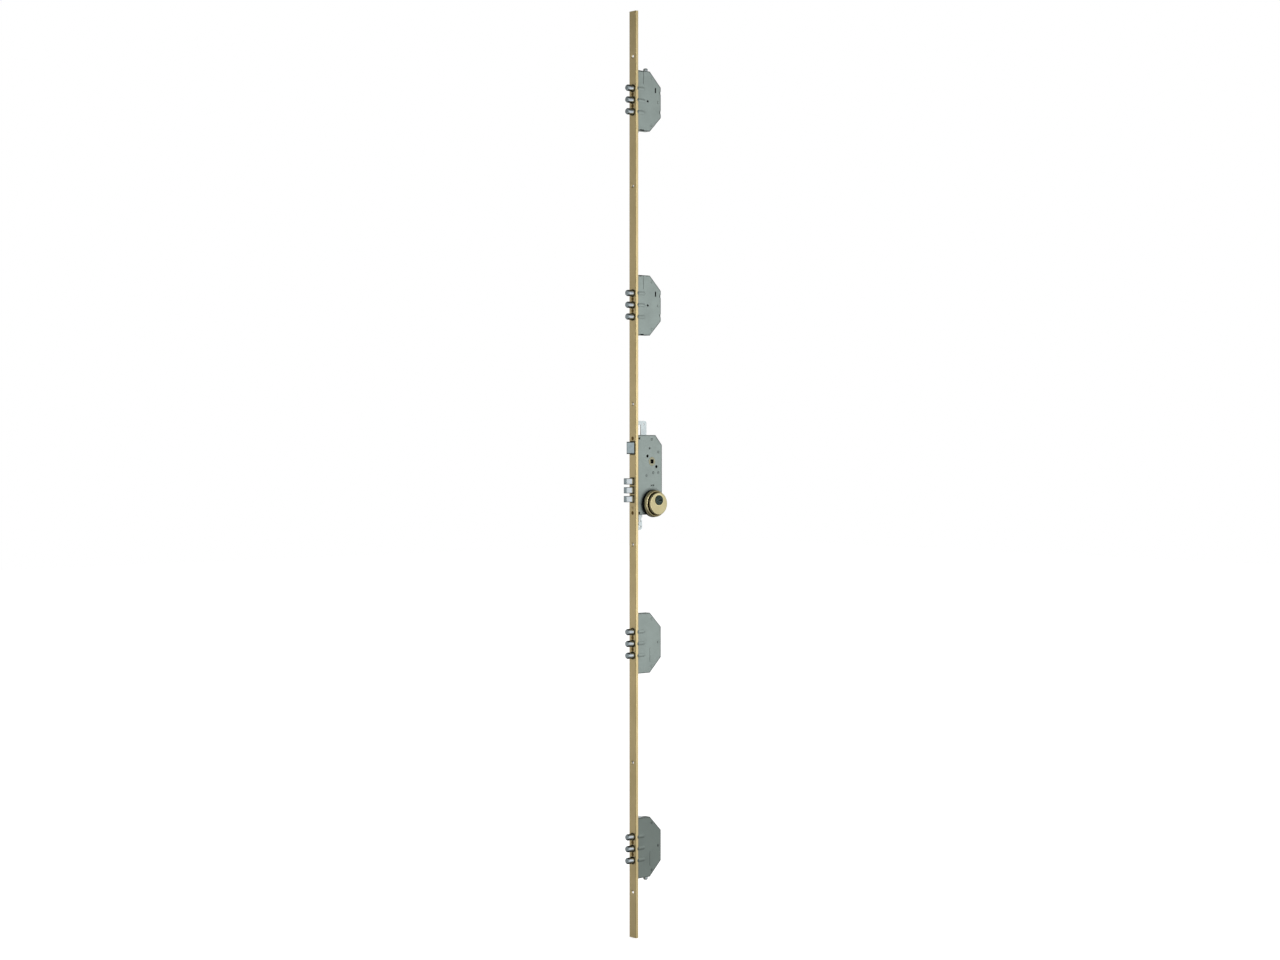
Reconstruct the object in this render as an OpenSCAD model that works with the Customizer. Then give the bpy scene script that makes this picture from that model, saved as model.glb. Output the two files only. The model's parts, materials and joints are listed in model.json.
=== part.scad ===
// Multipoint mortise lock: a long folded faceplate that carries a main lock case with three flat
// bolts, a latch and a geared profile cylinder, and four boxes of three round bolts each.
// Millimetres. The origin is the middle of the faceplate's front. +X points into the door,
// +Z up, and the bolts are thrown towards -X. The key's outer side is -Y.

/* [Faceplate] */
// Length of the faceplate
plate_length = 2030; // [2000:5:2080]
// Width of the faceplate
plate_width = 22; // [22:0.5:24]
// Depth of the folded channel
plate_depth = 7; // [7:0.5:8]
// Thickness of the faceplate's sheet
plate_wall = 2; // [1.5:0.1:2]
// Outer radius of the channel's folds
plate_fold_r = 1.5; // [1:0.1:2]
// Radius of the holes for the door screws
fixing_r = 2.5; // [2:0.1:2.7]
// Height of the outer door screws above and below the middle
fixing_outer = 916; // [900:1:930]
// Height of the door screws between the bolt boxes
fixing_middle = 632; // [600:1:640]
// Height of the door screws next to the main case
fixing_inner = 154; // [140:1:170]

/* [Main case] */
// Top edge of the main case
case_top = 86; // [85.5:0.1:86.2]
// Bottom edge of the main case
case_bottom = -89; // [-89.5:0.1:-88.5]
// Back edge of the main case, from the front of the faceplate
case_back = 79.35; // [79:0.1:84]
// Outer thickness of the main case
case_t = 16; // [15.9:0.1:16.4]
// Thickness of the sheet of all cases
sheet = 1.2; // [0.9:0.1:1.2]
// Width of the cut back corners of the main case
case_corner_x = 19.35; // [15:0.5:21]
// Height of the cut back corners of the main case
case_corner_z = 22; // [16:0.5:24]

/* [Centres] */
// Distance from the faceplate's front to the cylinder and the follower
backset = 50; // [49.8:0.1:50.4]
// Height of the follower's centre
follower_z = 28; // [27.8:0.1:28.4]
// Distance between the follower and the cylinder
centres = 85; // [84.8:0.1:85.2]

/* [Main bolts] */
// Distance from one main bolt to the next
bolt_pitch = 19.4; // [19:0.1:19.8]
// Height of the middle main bolt
bolt_z = -34.8; // [-35.2:0.1:-34.6]
// Height of a main bolt's section
bolt_h = 13.5; // [11:0.1:13.6]
// Thickness of a main bolt's section
bolt_t = 9.6; // [8:0.1:9.8]

/* [Latch] */
// Height of the latch bolt's centre
latch_z = 57.8; // [57.2:0.1:58.2]
// Height of the latch bolt
latch_h = 27; // [24:0.5:27]
// Thickness of the latch bolt
latch_t = 12; // [10:0.1:12.2]
// Distance that the latch bolt stands out and draws back
latch_out = 13; // [11:0.1:13.2]

/* [Bolt boxes] */
// Height of the outer boxes' centres above and below the middle
box_outer = 820; // [810:1:825]
// Height of the inner boxes' centres above and below the middle
box_inner = 371; // [360:1:380]
// Half the height of a box
box_half = 66; // [66:0.1:67]
// Back edge of a box, from the front of the faceplate
box_back = 76.5; // [74:0.1:80]
// Outer thickness of a box
box_t = 15; // [14:0.1:15.4]
// Size of a box's cut back corners
box_corner = 32.5; // [26:0.5:32.5]
// Radius of the round bolts
round_r = 7; // [6:0.1:7.1]
// Distance from one round bolt to the next
round_pitch = 25.8; // [25.4:0.1:26]
// Throw of the round bolts
round_throw = 17; // [15:0.1:17.2]

/* [Gears] */
// Module of the cylinder's cog and the large gear
cog_module = 2; // [1.98:0.005:2.01]
// Teeth of the cylinder's cog
cog_teeth = 10; // [10:1:10]
// Teeth of the large gear
gear_teeth = 20; // [20:1:20]
// Module of the pinions and racks
rack_module = 1; // [0.99:0.005:1]
// Teeth of the small pinion on the large gear
small_teeth = 14; // [14:1:14]
// Teeth of the transfer pinion
transfer_teeth = 18; // [18:1:18]
// Play between meshing teeth
backlash = 0.3; // [0.2:0.05:0.4]

/* [Cylinder] */
// Radius of the profile cylinder's round part
cylinder_r = 8.5; // [8.5:0.05:8.6]
// Height of the profile cylinder
cylinder_h = 33; // [32.6:0.1:33.2]
// Width of the profile cylinder's leg
cylinder_leg = 10; // [9.8:0.1:10.2]
// Reach of the cylinder's inner end beyond the middle of the case
cylinder_inner = 30; // [20:0.5:45]
// Radius of the plugs
plug_r = 6.5; // [6:0.1:6.6]

/* [Escutcheon] */
// Radius of the black mounting ring
mount_r = 30.2; // [29.9:0.1:31]
// Depth of the black mounting ring
mount_h = 6.5; // [6:0.1:7]
// Radius of the brass body
collar_r = 29.6; // [29.2:0.1:29.8]
// Radius of the front disc
disc_r = 25; // [24:0.1:25.4]
// Distance of the front disc's face from the case
disc_h = 23.2; // [23:0.1:25]
// Drop of the escutcheon's centre below the cylinder
escutcheon_drop = 7.7; // [7.4:0.1:8]

/* [Clearances] */
// Gap between pieces that slide or lie beside each other
gap = 0.3; // [0.25:0.01:0.35]
// Radial gap of a turning fit
fit = 0.05; // [0.03:0.01:0.08]

/* [Hidden] */
$fn = 64;
BOXES = ["top", "upper", "lower", "bottom"];
BOX_PIECES = ["tray", "cover", "bolts", "carriage", "slider"];

// Gear train: radii, centres and the travel that one turn of the key gives
cylinder_z = follower_z - centres;
cog_r = cog_module * cog_teeth / 2;
gear_r = cog_module * gear_teeth / 2;
small_r = rack_module * small_teeth / 2;
transfer_r = rack_module * transfer_teeth / 2;
travel = 2 * PI * cog_teeth / gear_teeth * small_r;
gear_lean = 4.6;
gear_x = backset + (cog_r + gear_r) * sin(gear_lean);
gear_z = cylinder_z + (cog_r + gear_r) * cos(gear_lean);
arm_depth = 7.7;
lower_rack_z = gear_z + small_r;
upper_rack_z = lower_rack_z + arm_depth;
transfer_x = 34;
transfer_z = upper_rack_z + transfer_r;

// Teeth: stub form with a 20 degree pressure angle
tooth_tip = 0.7;
tooth_root = 0.95;
pressure = 20;

// Layers across the main case, from the outer side at -Y
case_in = case_t / 2 - sheet;
slide_t = 2;
slide_y0 = -case_in + gap * 2 / 3;
slide_y1 = slide_y0 + slide_t;
carriage_t = 2.5;
carriage_y0 = slide_y1 + gap;
carriage_y1 = carriage_y0 + carriage_t;
tail_t = 2.1;
tail_y1 = carriage_y1 + tail_t;
gear_y0 = tail_y1 + gap;
gear_y1 = gear_y0 + 3.8;
lever_y0 = 1;
lever_y1 = 5;

// Channel: inner half width, and the flat rods that run in it
channel_in = plate_width / 2 - plate_wall;
rod_x0 = plate_wall + gap;
rod_x1 = rod_x0 + 3;
rod_half = 7.5;
slot_half = 3.5;
hook_h = 3;

// Screws and rivets
screw_r = 2;
screw_head_r = 4.2;
fixing_head_r = 4.8;
sink = 0.7 * plate_wall;
cylinder_screw_r = 2.5;
rivet_r = 2;
rivet_head_r = 3;
rivet_head_h = 0.5;
case_screws = [case_top - 7.5, case_bottom + 4.3];
case_rivets = [[49.7, 76.3], [68.8, 48.5], [54.1, 3.2], [68.8, 3.4]];
cylinder_screw_z = cylinder_z - 16.5;
rose_holes = [[-13.2, 11.7], [13.2, -11.7]];
rose_r = 3.3;
latch_sight = [43.2, 56.9];
latch_sight_r = 2.1;
boss_sight_r = 2.5;
low_hole = [19.7, -64.8];
low_hole_r = 1.8;
gear_slot_x = 47.9;
gear_slot_w = 7;
gear_slot_r = 1.5;

// Main bolts
bolt_rear = 8;
bolt_step = 3.5;
bolt_edge = 1.5;
spine_w = 6;
spine_rear = bolt_rear + spine_w;
bolt_heights = [for (i = [1, 0, -1]) bolt_z + i * bolt_pitch];

// Drive plates
drive_front = 18.5;
drive_narrow = 31;
drive_wide = 35;
drive_reach = 31;
lug_h = 8.5;
lower_reach = 33;
rack_end = 4.4;

// Follower and latch
collar_hub_r = 9.5;
hub_r = 7;
spindle = 8;
lever_swing = 22.5;
lever_tip_r = 3;
lever_half = 2;
lever_r = latch_out / 2 / sin(lever_swing);
latch_rear = 4.5;

// Bolt boxes
box_z = [box_outer, box_inner, -box_inner, -box_outer];
box_in = box_t / 2 - sheet;
bolt_hole_r = round_r + 0.4;
bulge_r = bolt_hole_r + sheet;
bulge_end = 27.5;
round_rear = 9;
box_slide_y0 = 2;
box_slide_y1 = 4.5;
box_carriage_half = 1.5;
finger_x = 4.2;
box_spine = 13;
box_pin_x = 32;
box_pin_r = 2.4;
box_pin_z = round_pitch / 2;
box_screw_z = round_pitch / 2;
box_rivets_at = [[69, 0], [50, 52], [50, -52]];
notch_z = 21.5;
notch_h = 6.4;
notch_x = 3.4;
end_notch_h = 2.6;
outer_notch = [12.5, 22.5];
inner_notch = [15.5, 27];
slit_x = 25.5;
slit_w = 0.8;
slit_low = 36;
sight_x = 61;
sight_low = 22;
sight_h = 8;
sight_r = 1.75;
middle_hole_r = 2.5;
ridge_x = 45.5;
ridge_low = 12;
ridge_h = 28;
ridge_r = 1.6;
box_stud_x = 6.5;
box_stud_r = 1.5;
arm_x0 = rod_x1 + gap;
arm_x1 = 9;
tab_x1 = 20;
bar_h = 5.5;
bar_low = -36;
bar_high = 61.5;
slider_x0 = 27.8;
slider_x1 = 57;
link_out = 7.5;
stub_r = 5;
stub_x = 38;
stub_out = 6.8;
stub_round = 2.6;

// Cylinder and escutcheon
cog_half = 4;
nose_r = 4;
disc_back = disc_h - 5;
case_face = -case_t / 2;
body_front = case_face - disc_back + gap;
ring_in = plug_r + gap;
ring_out = 10.9;
ring_front = case_face - disc_h - 2;
nose_front = ring_front - 0.4;
escutcheon_z = cylinder_z - escutcheon_drop;
collar_band = 11;
collar_end = 15.2;
neck_r = 22.5;
sleeve_r = 20.5;
foot_r = 28;

// Colours of the finishes
GOLD = [0.70, 0.63, 0.42];
ZINC = [0.56, 0.60, 0.58];
PALE = [0.78, 0.81, 0.81];
NICKEL = [0.80, 0.81, 0.82];
BRASS = [0.80, 0.74, 0.52];
BLACK = [0.10, 0.10, 0.10];
STEEL = [0.55, 0.57, 0.60];

// Extrudes a drawing in X and Z from y0 to y1.
module slab(y0, y1) {
    translate([0, y1, 0]) rotate([90, 0, 0]) linear_extrude(y1 - y0) children();
}

// Extrudes a drawing in Y and Z from x0 to x1.
module beam(x0, x1) {
    translate([x0, 0, 0]) rotate([90, 0, 90]) linear_extrude(x1 - x0) children();
}

// A round bar along Y.
module bar_y(x, z, r, y0, y1) {
    translate([x, y1, z]) rotate([90, 0, 0]) cylinder(r = r, h = y1 - y0);
}

// A round bar along X.
module bar_x(z, r, x0, x1) {
    translate([x0, 0, z]) rotate([0, 90, 0]) cylinder(r = r, h = x1 - x0);
}

// A turned piece on an axis along Y: its drawing has the radius first, then the distance from the case.
module turned(x, z) {
    translate([x, case_face, z]) rotate([90, 0, 0]) rotate_extrude() children();
}

// A rectangle between two corners.
module box2(a, b) {
    translate(a) square(b - a);
}

// A rectangle whose corners are true arcs.
module round_box2(a, b, r) {
    box2(a + [r, 0], b - [r, 0]);
    box2(a + [0, r], b - [0, r]);
    for (x = [a.x + r, b.x - r]) for (y = [a.y + r, b.y - r]) translate([x, y]) circle(r);
}

// A slot with round ends between two points.
module slot2(a, b, r) {
    along = b - a;
    side = [-along.y, along.x] / norm(along) * r;
    for (p = [a, b]) translate(p) circle(r);
    polygon([a + side, b + side, b - side, a - side]);
}

// Involute helpers: the involute in degrees, and half a tooth's angle at radius r.
function involute(a) = tan(a) * 180 / PI - a;
function roll(r, base) = acos(min(1, base / r));
function half_tooth(r, pitch_r, n) =
    90 / n - backlash / 2 / pitch_r * 180 / PI
    + involute(pressure) - involute(roll(r, pitch_r * cos(pressure)));
function at(r, a) = [r * cos(a), r * sin(a)];

// A gear's outline with its first tooth at the angle phase.
module gear2(m, n, phase) {
    pitch_r = m * n / 2;
    root = pitch_r - tooth_root * m;
    tip = pitch_r + tooth_tip * m;
    steps = [for (i = [0:4]) root + (tip - root) * i / 4];
    polygon([
        for (k = [0:n - 1])
            let (a = phase + k * 360 / n)
            each concat(
                [for (r = steps) at(r, a - half_tooth(r, pitch_r, n))],
                [for (i = [4:-1:0]) at(steps[i], a + half_tooth(steps[i], pitch_r, n))])
    ]);
}

// Rack teeth that rise towards +Y from a pitch line on Y = 0, between x = from and x = to.
// A gap between teeth lies at x = gap_at, or a whole number of pitches from it.
module rack2(m, from, to, gap_at) {
    pitch = PI * m;
    first = ceil((from - gap_at) / pitch - 0.05);
    last = floor((to - gap_at) / pitch + 0.05) - 1;
    half = pitch / 4 - backlash / 2;
    tip = tooth_tip * m;
    root = tooth_root * m;
    for (k = [first:last])
        translate([gap_at + (k + 0.5) * pitch, 0])
            polygon([
                [-half - root * tan(pressure), -root - 0.01],
                [half + root * tan(pressure), -root - 0.01],
                [half - tip * tan(pressure), tip],
                [-half + tip * tan(pressure), tip]
            ]);
}

// Phases that put every tooth opposite a gap.
cog_phase = 0;
mesh_angle = 90 - gear_lean;
cog_share = (mesh_angle - cog_phase) * cog_teeth / 360;
gear_phase = mesh_angle + 180 - (0.5 - cog_share) * 360 / gear_teeth;

// A lock case's outline: square at the front, cut corners at the back, drawn t inside its edge.
module case2(x0, x1, z0, z1, cx, cz, t = 0) {
    long = norm([cx, cz]);
    in_x = cx + t * (long - cx) / cz;
    in_z = cz + t * (long - cz) / cx;
    polygon([
        [x0 + t, z0 + t], [x1 - in_x, z0 + t], [x1 - t, z0 + in_z],
        [x1 - t, z1 - in_z], [x1 - in_x, z1 - t], [x0 + t, z1 - t]
    ]);
}

module main_case2(t = 0) {
    case2(plate_wall, case_back, case_bottom, case_top, case_corner_x, case_corner_z, t);
}

module box_case2(t = 0) {
    case2(plate_wall, box_back, -box_half, box_half, box_corner, box_corner, t);
}

// The opening in the cases that lets the cylinder and its cog in.
module cylinder_opening2(play) {
    translate([backset, cylinder_z]) circle(cog_r + cog_module * tooth_tip + play);
    leg = cylinder_leg / 2 + play;
    box2([backset - leg, cylinder_foot - play], [backset + leg, cylinder_z]);
}

cylinder_foot = cylinder_z + cylinder_r - cylinder_h;
cylinder_play = 0.5;

// Small tabs at a case's edges: each is a centre height on the back edge.
main_tabs = [30, -30];
tab_h = 7;

// Openings of the three main bolts and the latch, in Y and Z.
module main_openings2(play) {
    for (z = bolt_heights)
        round_box2([carriage_y0 - play, z - bolt_h / 2 - play],
            [carriage_y0 + bolt_t + play, z + bolt_h / 2 + play], bolt_edge);
    box2([-latch_t / 2 - play, latch_z - latch_h / 2 - play],
        [latch_t / 2 + play, latch_z + latch_h / 2 + play]);
}

// Folded channel with its openings, drilled and countersunk.
module faceplate() {
    color(GOLD) difference() {
        translate([0, 0, -plate_length / 2]) linear_extrude(plate_length) channel2();
        beam(-1, plate_wall + 1) main_openings2(gap);
        for (i = [0:3]) for (k = [-1:1])
            bar_x(box_z[i] + k * round_pitch, bolt_hole_r, -1, plate_wall + 1);
        for (s = [-1, 1]) for (z = [fixing_outer, fixing_middle, fixing_inner])
            countersink(s * z, fixing_r, fixing_head_r);
        for (z = case_screws) countersink(z, screw_r + 0.1, screw_head_r + 0.1);
        for (c = box_z) for (s = [-1, 1])
            countersink(c + s * box_screw_z, screw_r + 0.1, screw_head_r + 0.1);
        countersink(cylinder_screw_z, cylinder_screw_r + 0.1, screw_head_r + 0.1);
        for (i = [0:3]) for (k = [-1:1])
            bar_y(plate_depth + 2.2, box_z[i] + k * round_pitch, 4.6, -plate_width, plate_width);
    }
}

module channel2() {
    half = plate_width / 2;
    difference() {
        union() {
            box2([plate_fold_r, -half], [plate_depth, half]);
            box2([0, plate_fold_r - half], [plate_depth, half - plate_fold_r]);
            for (s = [-1, 1])
                translate([plate_fold_r, s * (half - plate_fold_r)]) circle(plate_fold_r);
        }
        box2([plate_wall, -channel_in], [plate_depth + 1, channel_in]);
    }
}

module countersink(z, r, head_r) {
    bar_x(z, r, -1, plate_wall + 1);
    translate([-0.01, 0, z]) rotate([0, 90, 0]) cylinder(r1 = head_r, r2 = r, h = sink);
}

// Countersunk screw from the faceplate into a case, as long as reach.
module case_screw(z, r, reach) {
    difference() {
        union() {
            translate([0.1, 0, z]) rotate([0, 90, 0])
                cylinder(r1 = screw_head_r - 0.1, r2 = r, h = sink - 0.1);
            bar_x(z, r, 0.2, reach);
        }
        for (turn = [0, 90]) translate([0, 0, z]) rotate([turn, 0, 0])
            cube([1.8, 0.9, 4.6], center = true);
    }
}

boss_r = 4;
main_boss = 13;
box_boss = 8.5;

module faceplate_screws() {
    color(GOLD) {
        for (z = case_screws) case_screw(z, screw_r, main_boss - 1);
        for (c = box_z) for (s = [-1, 1]) case_screw(c + s * box_screw_z, screw_r, box_boss - 0.5);
    }
}

// Far half of the main case: back sheet, walls and screw bosses.
module main_case_tray() {
    half = case_t / 2;
    color(ZINC) difference() {
        union() {
            slab(case_in, half) main_case2();
            difference() {
                slab(-case_in, half) main_case2();
                slab(-half, half) main_case2(sheet);
            }
            for (z = main_tabs)
                slab(-half, -case_in) box2([case_back - sheet, z - tab_h / 2], [case_back, z + tab_h / 2]);
            intersection() {
                for (z = case_screws) bar_x(z, boss_r, plate_wall, main_boss);
                slab(-case_in, case_in) main_case2();
            }
            slab(-2, case_in) box2([30, 62.5], [31.2, 70.5]);
            slab(0.4, case_in) box2([29, 12], [30.2, 20]);
        }
        beam(plate_wall - 1, plate_wall + sheet + 1) main_openings2(gap);
        for (z = case_screws) bar_x(z, screw_r + fit, plate_wall - 1, main_boss + 1);
        bar_x(cylinder_screw_z, cylinder_screw_r + fit, plate_wall - 1, plate_wall + sheet + 1);
        main_case_holes(case_in - 1, half + 1);
        bar_y(gear_x, gear_z, rivet_r, case_in - 1, half + 1);
        drive_gate(case_top - 2, case_top + 1, drive_wide);
        drive_gate(case_bottom - 1, case_bottom + 2, lower_edge);
    }
}

// The gap in a case's end wall that a drive plate slides through.
module drive_gate(z0, z1, edge) {
    slab(-case_in - 0.01, slide_y1 + gap) box2([plate_wall + sheet, z0], [edge + gap, z1]);
}

// Holes that go through a sheet of the main case.
module main_case_holes(y0, y1) {
    for (h = rose_holes) bar_y(backset + h.x, follower_z + h.y, rose_r, y0, y1);
    bar_y(backset, follower_z, collar_hub_r + fit, y0, y1);
    for (r = case_rivets) bar_y(r.x, r.y, rivet_r, y0, y1);
    bar_y(transfer_x, transfer_z, rivet_r, y0, y1);
    slab(y0, y1) cylinder_opening2(cylinder_play);
}

// Near half of the main case: a flat sheet with the slots and sight holes that the mechanism needs.
module main_case_cover() {
    half = case_t / 2;
    color(ZINC) difference() {
        slab(-half, -case_in) main_case2();
        main_case_holes(-half - 1, -case_in + 1);
        bar_y(latch_sight.x, latch_sight.y, latch_sight_r, -half - 1, 0);
        for (z = case_screws) bar_y(main_boss, z, boss_sight_r, -half - 1, 0);
        bar_y(low_hole.x, low_hole.y, low_hole_r, -half - 1, 0);
        slab(-half - 1, 0)
            slot2([gear_slot_x, gear_z + 2.2], [gear_slot_x + gear_slot_w, gear_z + 2.2], gear_slot_r);
        for (z = main_tabs)
            slab(-half - 1, 0)
                box2([case_back - sheet - 0.1, z - tab_h / 2 - 0.1], [case_back + 1, z + tab_h / 2 + 0.1]);
        for (s = screw_spots) bar_y(s.x, s.y, 1.5, -half - 1, 0);
    }
}

// Riveted spacers that hold two sheets apart.
module spacer(x, z, half, inner) {
    bar_y(x, z, rivet_r, -half, half);
    bar_y(x, z, rivet_head_r, -inner, inner);
    for (s = [0, 1]) mirror([0, s, 0])
        translate([x, -half, z]) rotate([90, 0, 0])
            cylinder(r1 = rivet_head_r, r2 = rivet_head_r - 0.6, h = rivet_head_h);
}

module main_case_rivets() {
    color(PALE) for (r = case_rivets) spacer(r.x, r.y, case_t / 2, case_in);
}

module transfer_axle() {
    color(PALE) spacer(transfer_x, transfer_z, case_t / 2, case_in);
}

// Axle of the large gear: riveted in the far sheet, free under the near one.
module gear_axle() {
    color(PALE) {
        bar_y(gear_x, gear_z, rivet_head_r, slide_y0, case_in);
        bar_y(gear_x, gear_z, rivet_r, slide_y1, case_t / 2);
        translate([gear_x, case_t / 2, gear_z]) rotate([-90, 0, 0])
            cylinder(r1 = rivet_head_r, r2 = rivet_head_r - 0.6, h = rivet_head_h);
    }
}

// Rack teeth on an upright pitch line at x, pointing towards side (+1 or -1).
module upright_rack2(x, side, z0, z1, gap_z) {
    translate([x, 0]) rotate(90) mirror([0, side > 0 ? 1 : 0, 0]) rack2(rack_module, z0, z1, gap_z);
}

root_depth = rack_module * tooth_root;
upper_top = case_top + drive_reach;
lower_foot = case_bottom - lower_reach;
lower_edge = 24;

// Upper drive plate: a rack beside the transfer pinion, led out of the case's top to its rod.
module upper_drive_plate() {
    pitch_x = transfer_x - transfer_r;
    foot = transfer_z - rack_end;
    shoulder = transfer_z + travel + transfer_r + 2;
    color(PALE) slab(slide_y0, slide_y1) {
        difference() {
            union() {
                box2([drive_front, foot], [pitch_x - root_depth, shoulder + 1]);
                box2([drive_front, shoulder], [drive_narrow, case_top - 7]);
                box2([drive_front, case_top - 8], [drive_wide, upper_top - 5]);
                box2([drive_front, upper_top - 6], [drive_wide - 5, upper_top]);
                translate([drive_wide - 5, upper_top - 5]) circle(5);
                box2([arm_x0, upper_top - lug_h], [drive_wide - 6, upper_top]);
            }
            translate([drive_front + 8, upper_top - 7]) circle(2);
        }
        upright_rack2(pitch_x, 1, foot, shoulder, transfer_z);
        box2([rod_x0, upper_top - 6], [arm_x0 + 1, upper_top - 6 + hook_h]);
    }
}

// Lower drive plate: a rack on the pinion's other side, stepped past the cylinder to its rod.
module lower_drive_plate() {
    pitch_x = transfer_x + transfer_r;
    foot = transfer_z - travel - rack_end - 1;
    leg_x1 = pitch_x + 4.5;
    head = transfer_z + 2.2;
    step = cylinder_z + cylinder_r + 8;
    rail = drive_front + 8;
    rail_w = 6;
    foot_x = 12;
    bend = step - 22;
    color(PALE) slab(slide_y0, slide_y1) {
        difference() {
            union() {
                box2([pitch_x + root_depth, step - rail_w], [leg_x1, head]);
                box2([rail, step - rail_w], [leg_x1, step]);
                box2([rail, bend], [rail + rail_w, step]);
                box2([foot_x, bend], [rail + rail_w, bend + rail_w]);
                box2([foot_x, case_bottom - 6], [lower_edge - 1.5, bend + rail_w]);
                box2([foot_x, case_bottom - 13], [lower_edge - 4, case_bottom - 4]);
                box2([foot_x, lower_foot + 6], [lower_edge - 2, case_bottom - 12]);
                box2([foot_x, lower_foot], [lower_edge - 8, lower_foot + 8]);
                translate([lower_edge - 8, lower_foot + 6]) circle(6);
                box2([arm_x0, lower_foot + 1], [14, lower_foot + 1 + lug_h]);
            }
            translate([17, lower_foot + 7]) circle(2.2);
            translate([16.5, lower_foot + 19]) circle(2);
        }
        upright_rack2(pitch_x, -1, foot, head, transfer_z);
        box2([rod_x0, lower_foot + 4], [arm_x0 + 1, lower_foot + 4 + hook_h]);
    }
}

// A flat rod from z0 to z1: an edge notch for a drive plate's hook, windows for the sliders' hooks
// (their x tells the side in Y), and a slot past the door screw.
module rod(z0, z1, notch, windows, screw_at, way) {
    color(STEEL) difference() {
        beam(rod_x0, rod_x1) box2([-rod_half, z0], [rod_half, z1]);
        if (notch != 0)
            beam(0, plate_depth) box2([-rod_half - 1, notch], [slide_y1 + 0.2, notch + hook_h + 0.3]);
        for (w = windows)
            beam(0, plate_depth)
                box2([w.x < 0 ? -box_slide_y1 - 0.2 : box_slide_y0 - 0.2, w.y],
                    [w.x < 0 ? -box_slide_y0 + 0.2 : box_slide_y1 + 0.2, w.y + hook_h + 0.3]);
        beam(0, plate_depth)
            slot2([0, screw_at - way * 1.5], [0, screw_at + way * (travel + 1.5)], slot_half);
    }
}

inner_link = box_half + 3;
outer_link = box_half + travel + 3.6;

module upper_inner_rod() {
    rod(case_top + travel + gap, box_inner - box_half - gap, upper_top - 6 - 0.15,
        [[1, box_inner - inner_link - hook_h - 0.15]], fixing_inner, 1);
}

module upper_outer_rod() {
    rod(box_inner + box_half + travel + gap, box_outer - box_half - gap, 0,
        [[1, box_inner + outer_link - 0.15], [1, box_outer - inner_link - hook_h - 0.15]],
        fixing_middle, 1);
}

module lower_inner_rod() {
    rod(box_half + gap - box_inner, case_bottom - travel - gap, lower_foot + 4 - 0.15,
        [[-1, inner_link - box_inner - 0.15]], -fixing_inner, -1);
}

module lower_outer_rod() {
    rod(box_half + gap - box_outer, -box_inner - box_half - travel - gap, 0,
        [[-1, -box_inner - outer_link - hook_h - 0.15], [-1, inner_link - box_outer - 0.15]],
        -fixing_middle, -1);
}

// Carriage: a spine that joins the main bolts, and an arm with a rack along each edge.
module bolt_carriage() {
    arm_end = gear_x + 3;
    top = upper_rack_z - root_depth;
    low = lower_rack_z + root_depth;
    color(STEEL) difference() {
        slab(carriage_y0, carriage_y1) {
            box2([bolt_step, bolt_heights[2] - 6], [spine_rear, top]);
            box2([bolt_rear, low], [arm_end, top]);
            translate([0, upper_rack_z])
                rack2(rack_module, transfer_x - travel - 3.4, transfer_x + 3.4,
                    transfer_x - rack_gap(transfer_teeth, 90));
            translate([0, lower_rack_z]) mirror([0, 1, 0])
                rack2(rack_module, gear_x - travel - 3.4, arm_end + 0.3, gear_x + rack_gap(small_teeth, 90));
        }
        for (z = bolt_heights) bar_y(bolt_stud_x, z, bolt_stud_r + fit, carriage_y0 - 1, carriage_y1 + 1);
    }
}

bolt_stud_x = 11;
bolt_stud_r = 1.8;

// Distance along the rack to a gear's tooth when the rack lies at the angle a from the first tooth.
function rack_gap(n, a) = (a * n / 360 - floor(a * n / 360)) * PI * rack_module;

// A flat bolt with rounded edges, chamfered tip and a thin tail for the carriage.
module main_bolt(z) {
    y0 = carriage_y0;
    y1 = y0 + bolt_t;
    half = bolt_h / 2;
    tip = -travel;
    cut = 1.4;
    color(NICKEL) translate([0, 0, z]) {
        difference() {
            intersection() {
                beam(tip, bolt_rear) round_box2([y0, -half], [y1, half], bolt_edge);
                slab(y0, y1) polygon([
                    [tip, cut - half], [tip + cut, -half], [bolt_rear, -half],
                    [bolt_rear, half], [tip + cut, half], [tip, half - cut]]);
                translate([0, 0, -half]) linear_extrude(bolt_h) polygon([
                    [tip, y0 + cut], [tip + cut, y0], [bolt_rear, y0],
                    [bolt_rear, y1], [tip + cut, y1], [tip, y1 - cut]]);
            }
            slab(y0 - 1, carriage_y1) box2([bolt_step, -half - 1], [bolt_rear + 1, half + 1]);
        }
        slab(carriage_y1, tail_y1) box2([bolt_rear - 1, 1 - half], [spine_rear, half - 1]);
        bar_y(bolt_stud_x, 0, bolt_stud_r, carriage_y0, tail_y1);
    }
}

// Turning gears: the first tooth's angle sets the mesh, and the bore runs on an axle.
module transfer_pinion() {
    color(STEEL) difference() {
        slab(slide_y0, carriage_y1 - 0.2) translate([transfer_x, transfer_z])
            gear2(rack_module, transfer_teeth, 0);
        bar_y(transfer_x, transfer_z, rivet_head_r + fit, -case_t, case_t);
    }
}

module reduction_gear() {
    color(STEEL) difference() {
        union() {
            slab(carriage_y0, gear_y0) translate([gear_x, gear_z])
                gear2(rack_module, small_teeth, 0);
            slab(gear_y0, gear_y1) translate([gear_x, gear_z]) gear2(cog_module, gear_teeth, gear_phase);
        }
        bar_y(gear_x, gear_z, rivet_head_r + fit, -case_t, case_t);
        for (a = [0:60:300])
            bar_y(gear_x + 12.5 * cos(a), gear_z + 12.5 * sin(a), 3, gear_y0 - 1, gear_y1 + 1);
    }
}

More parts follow.
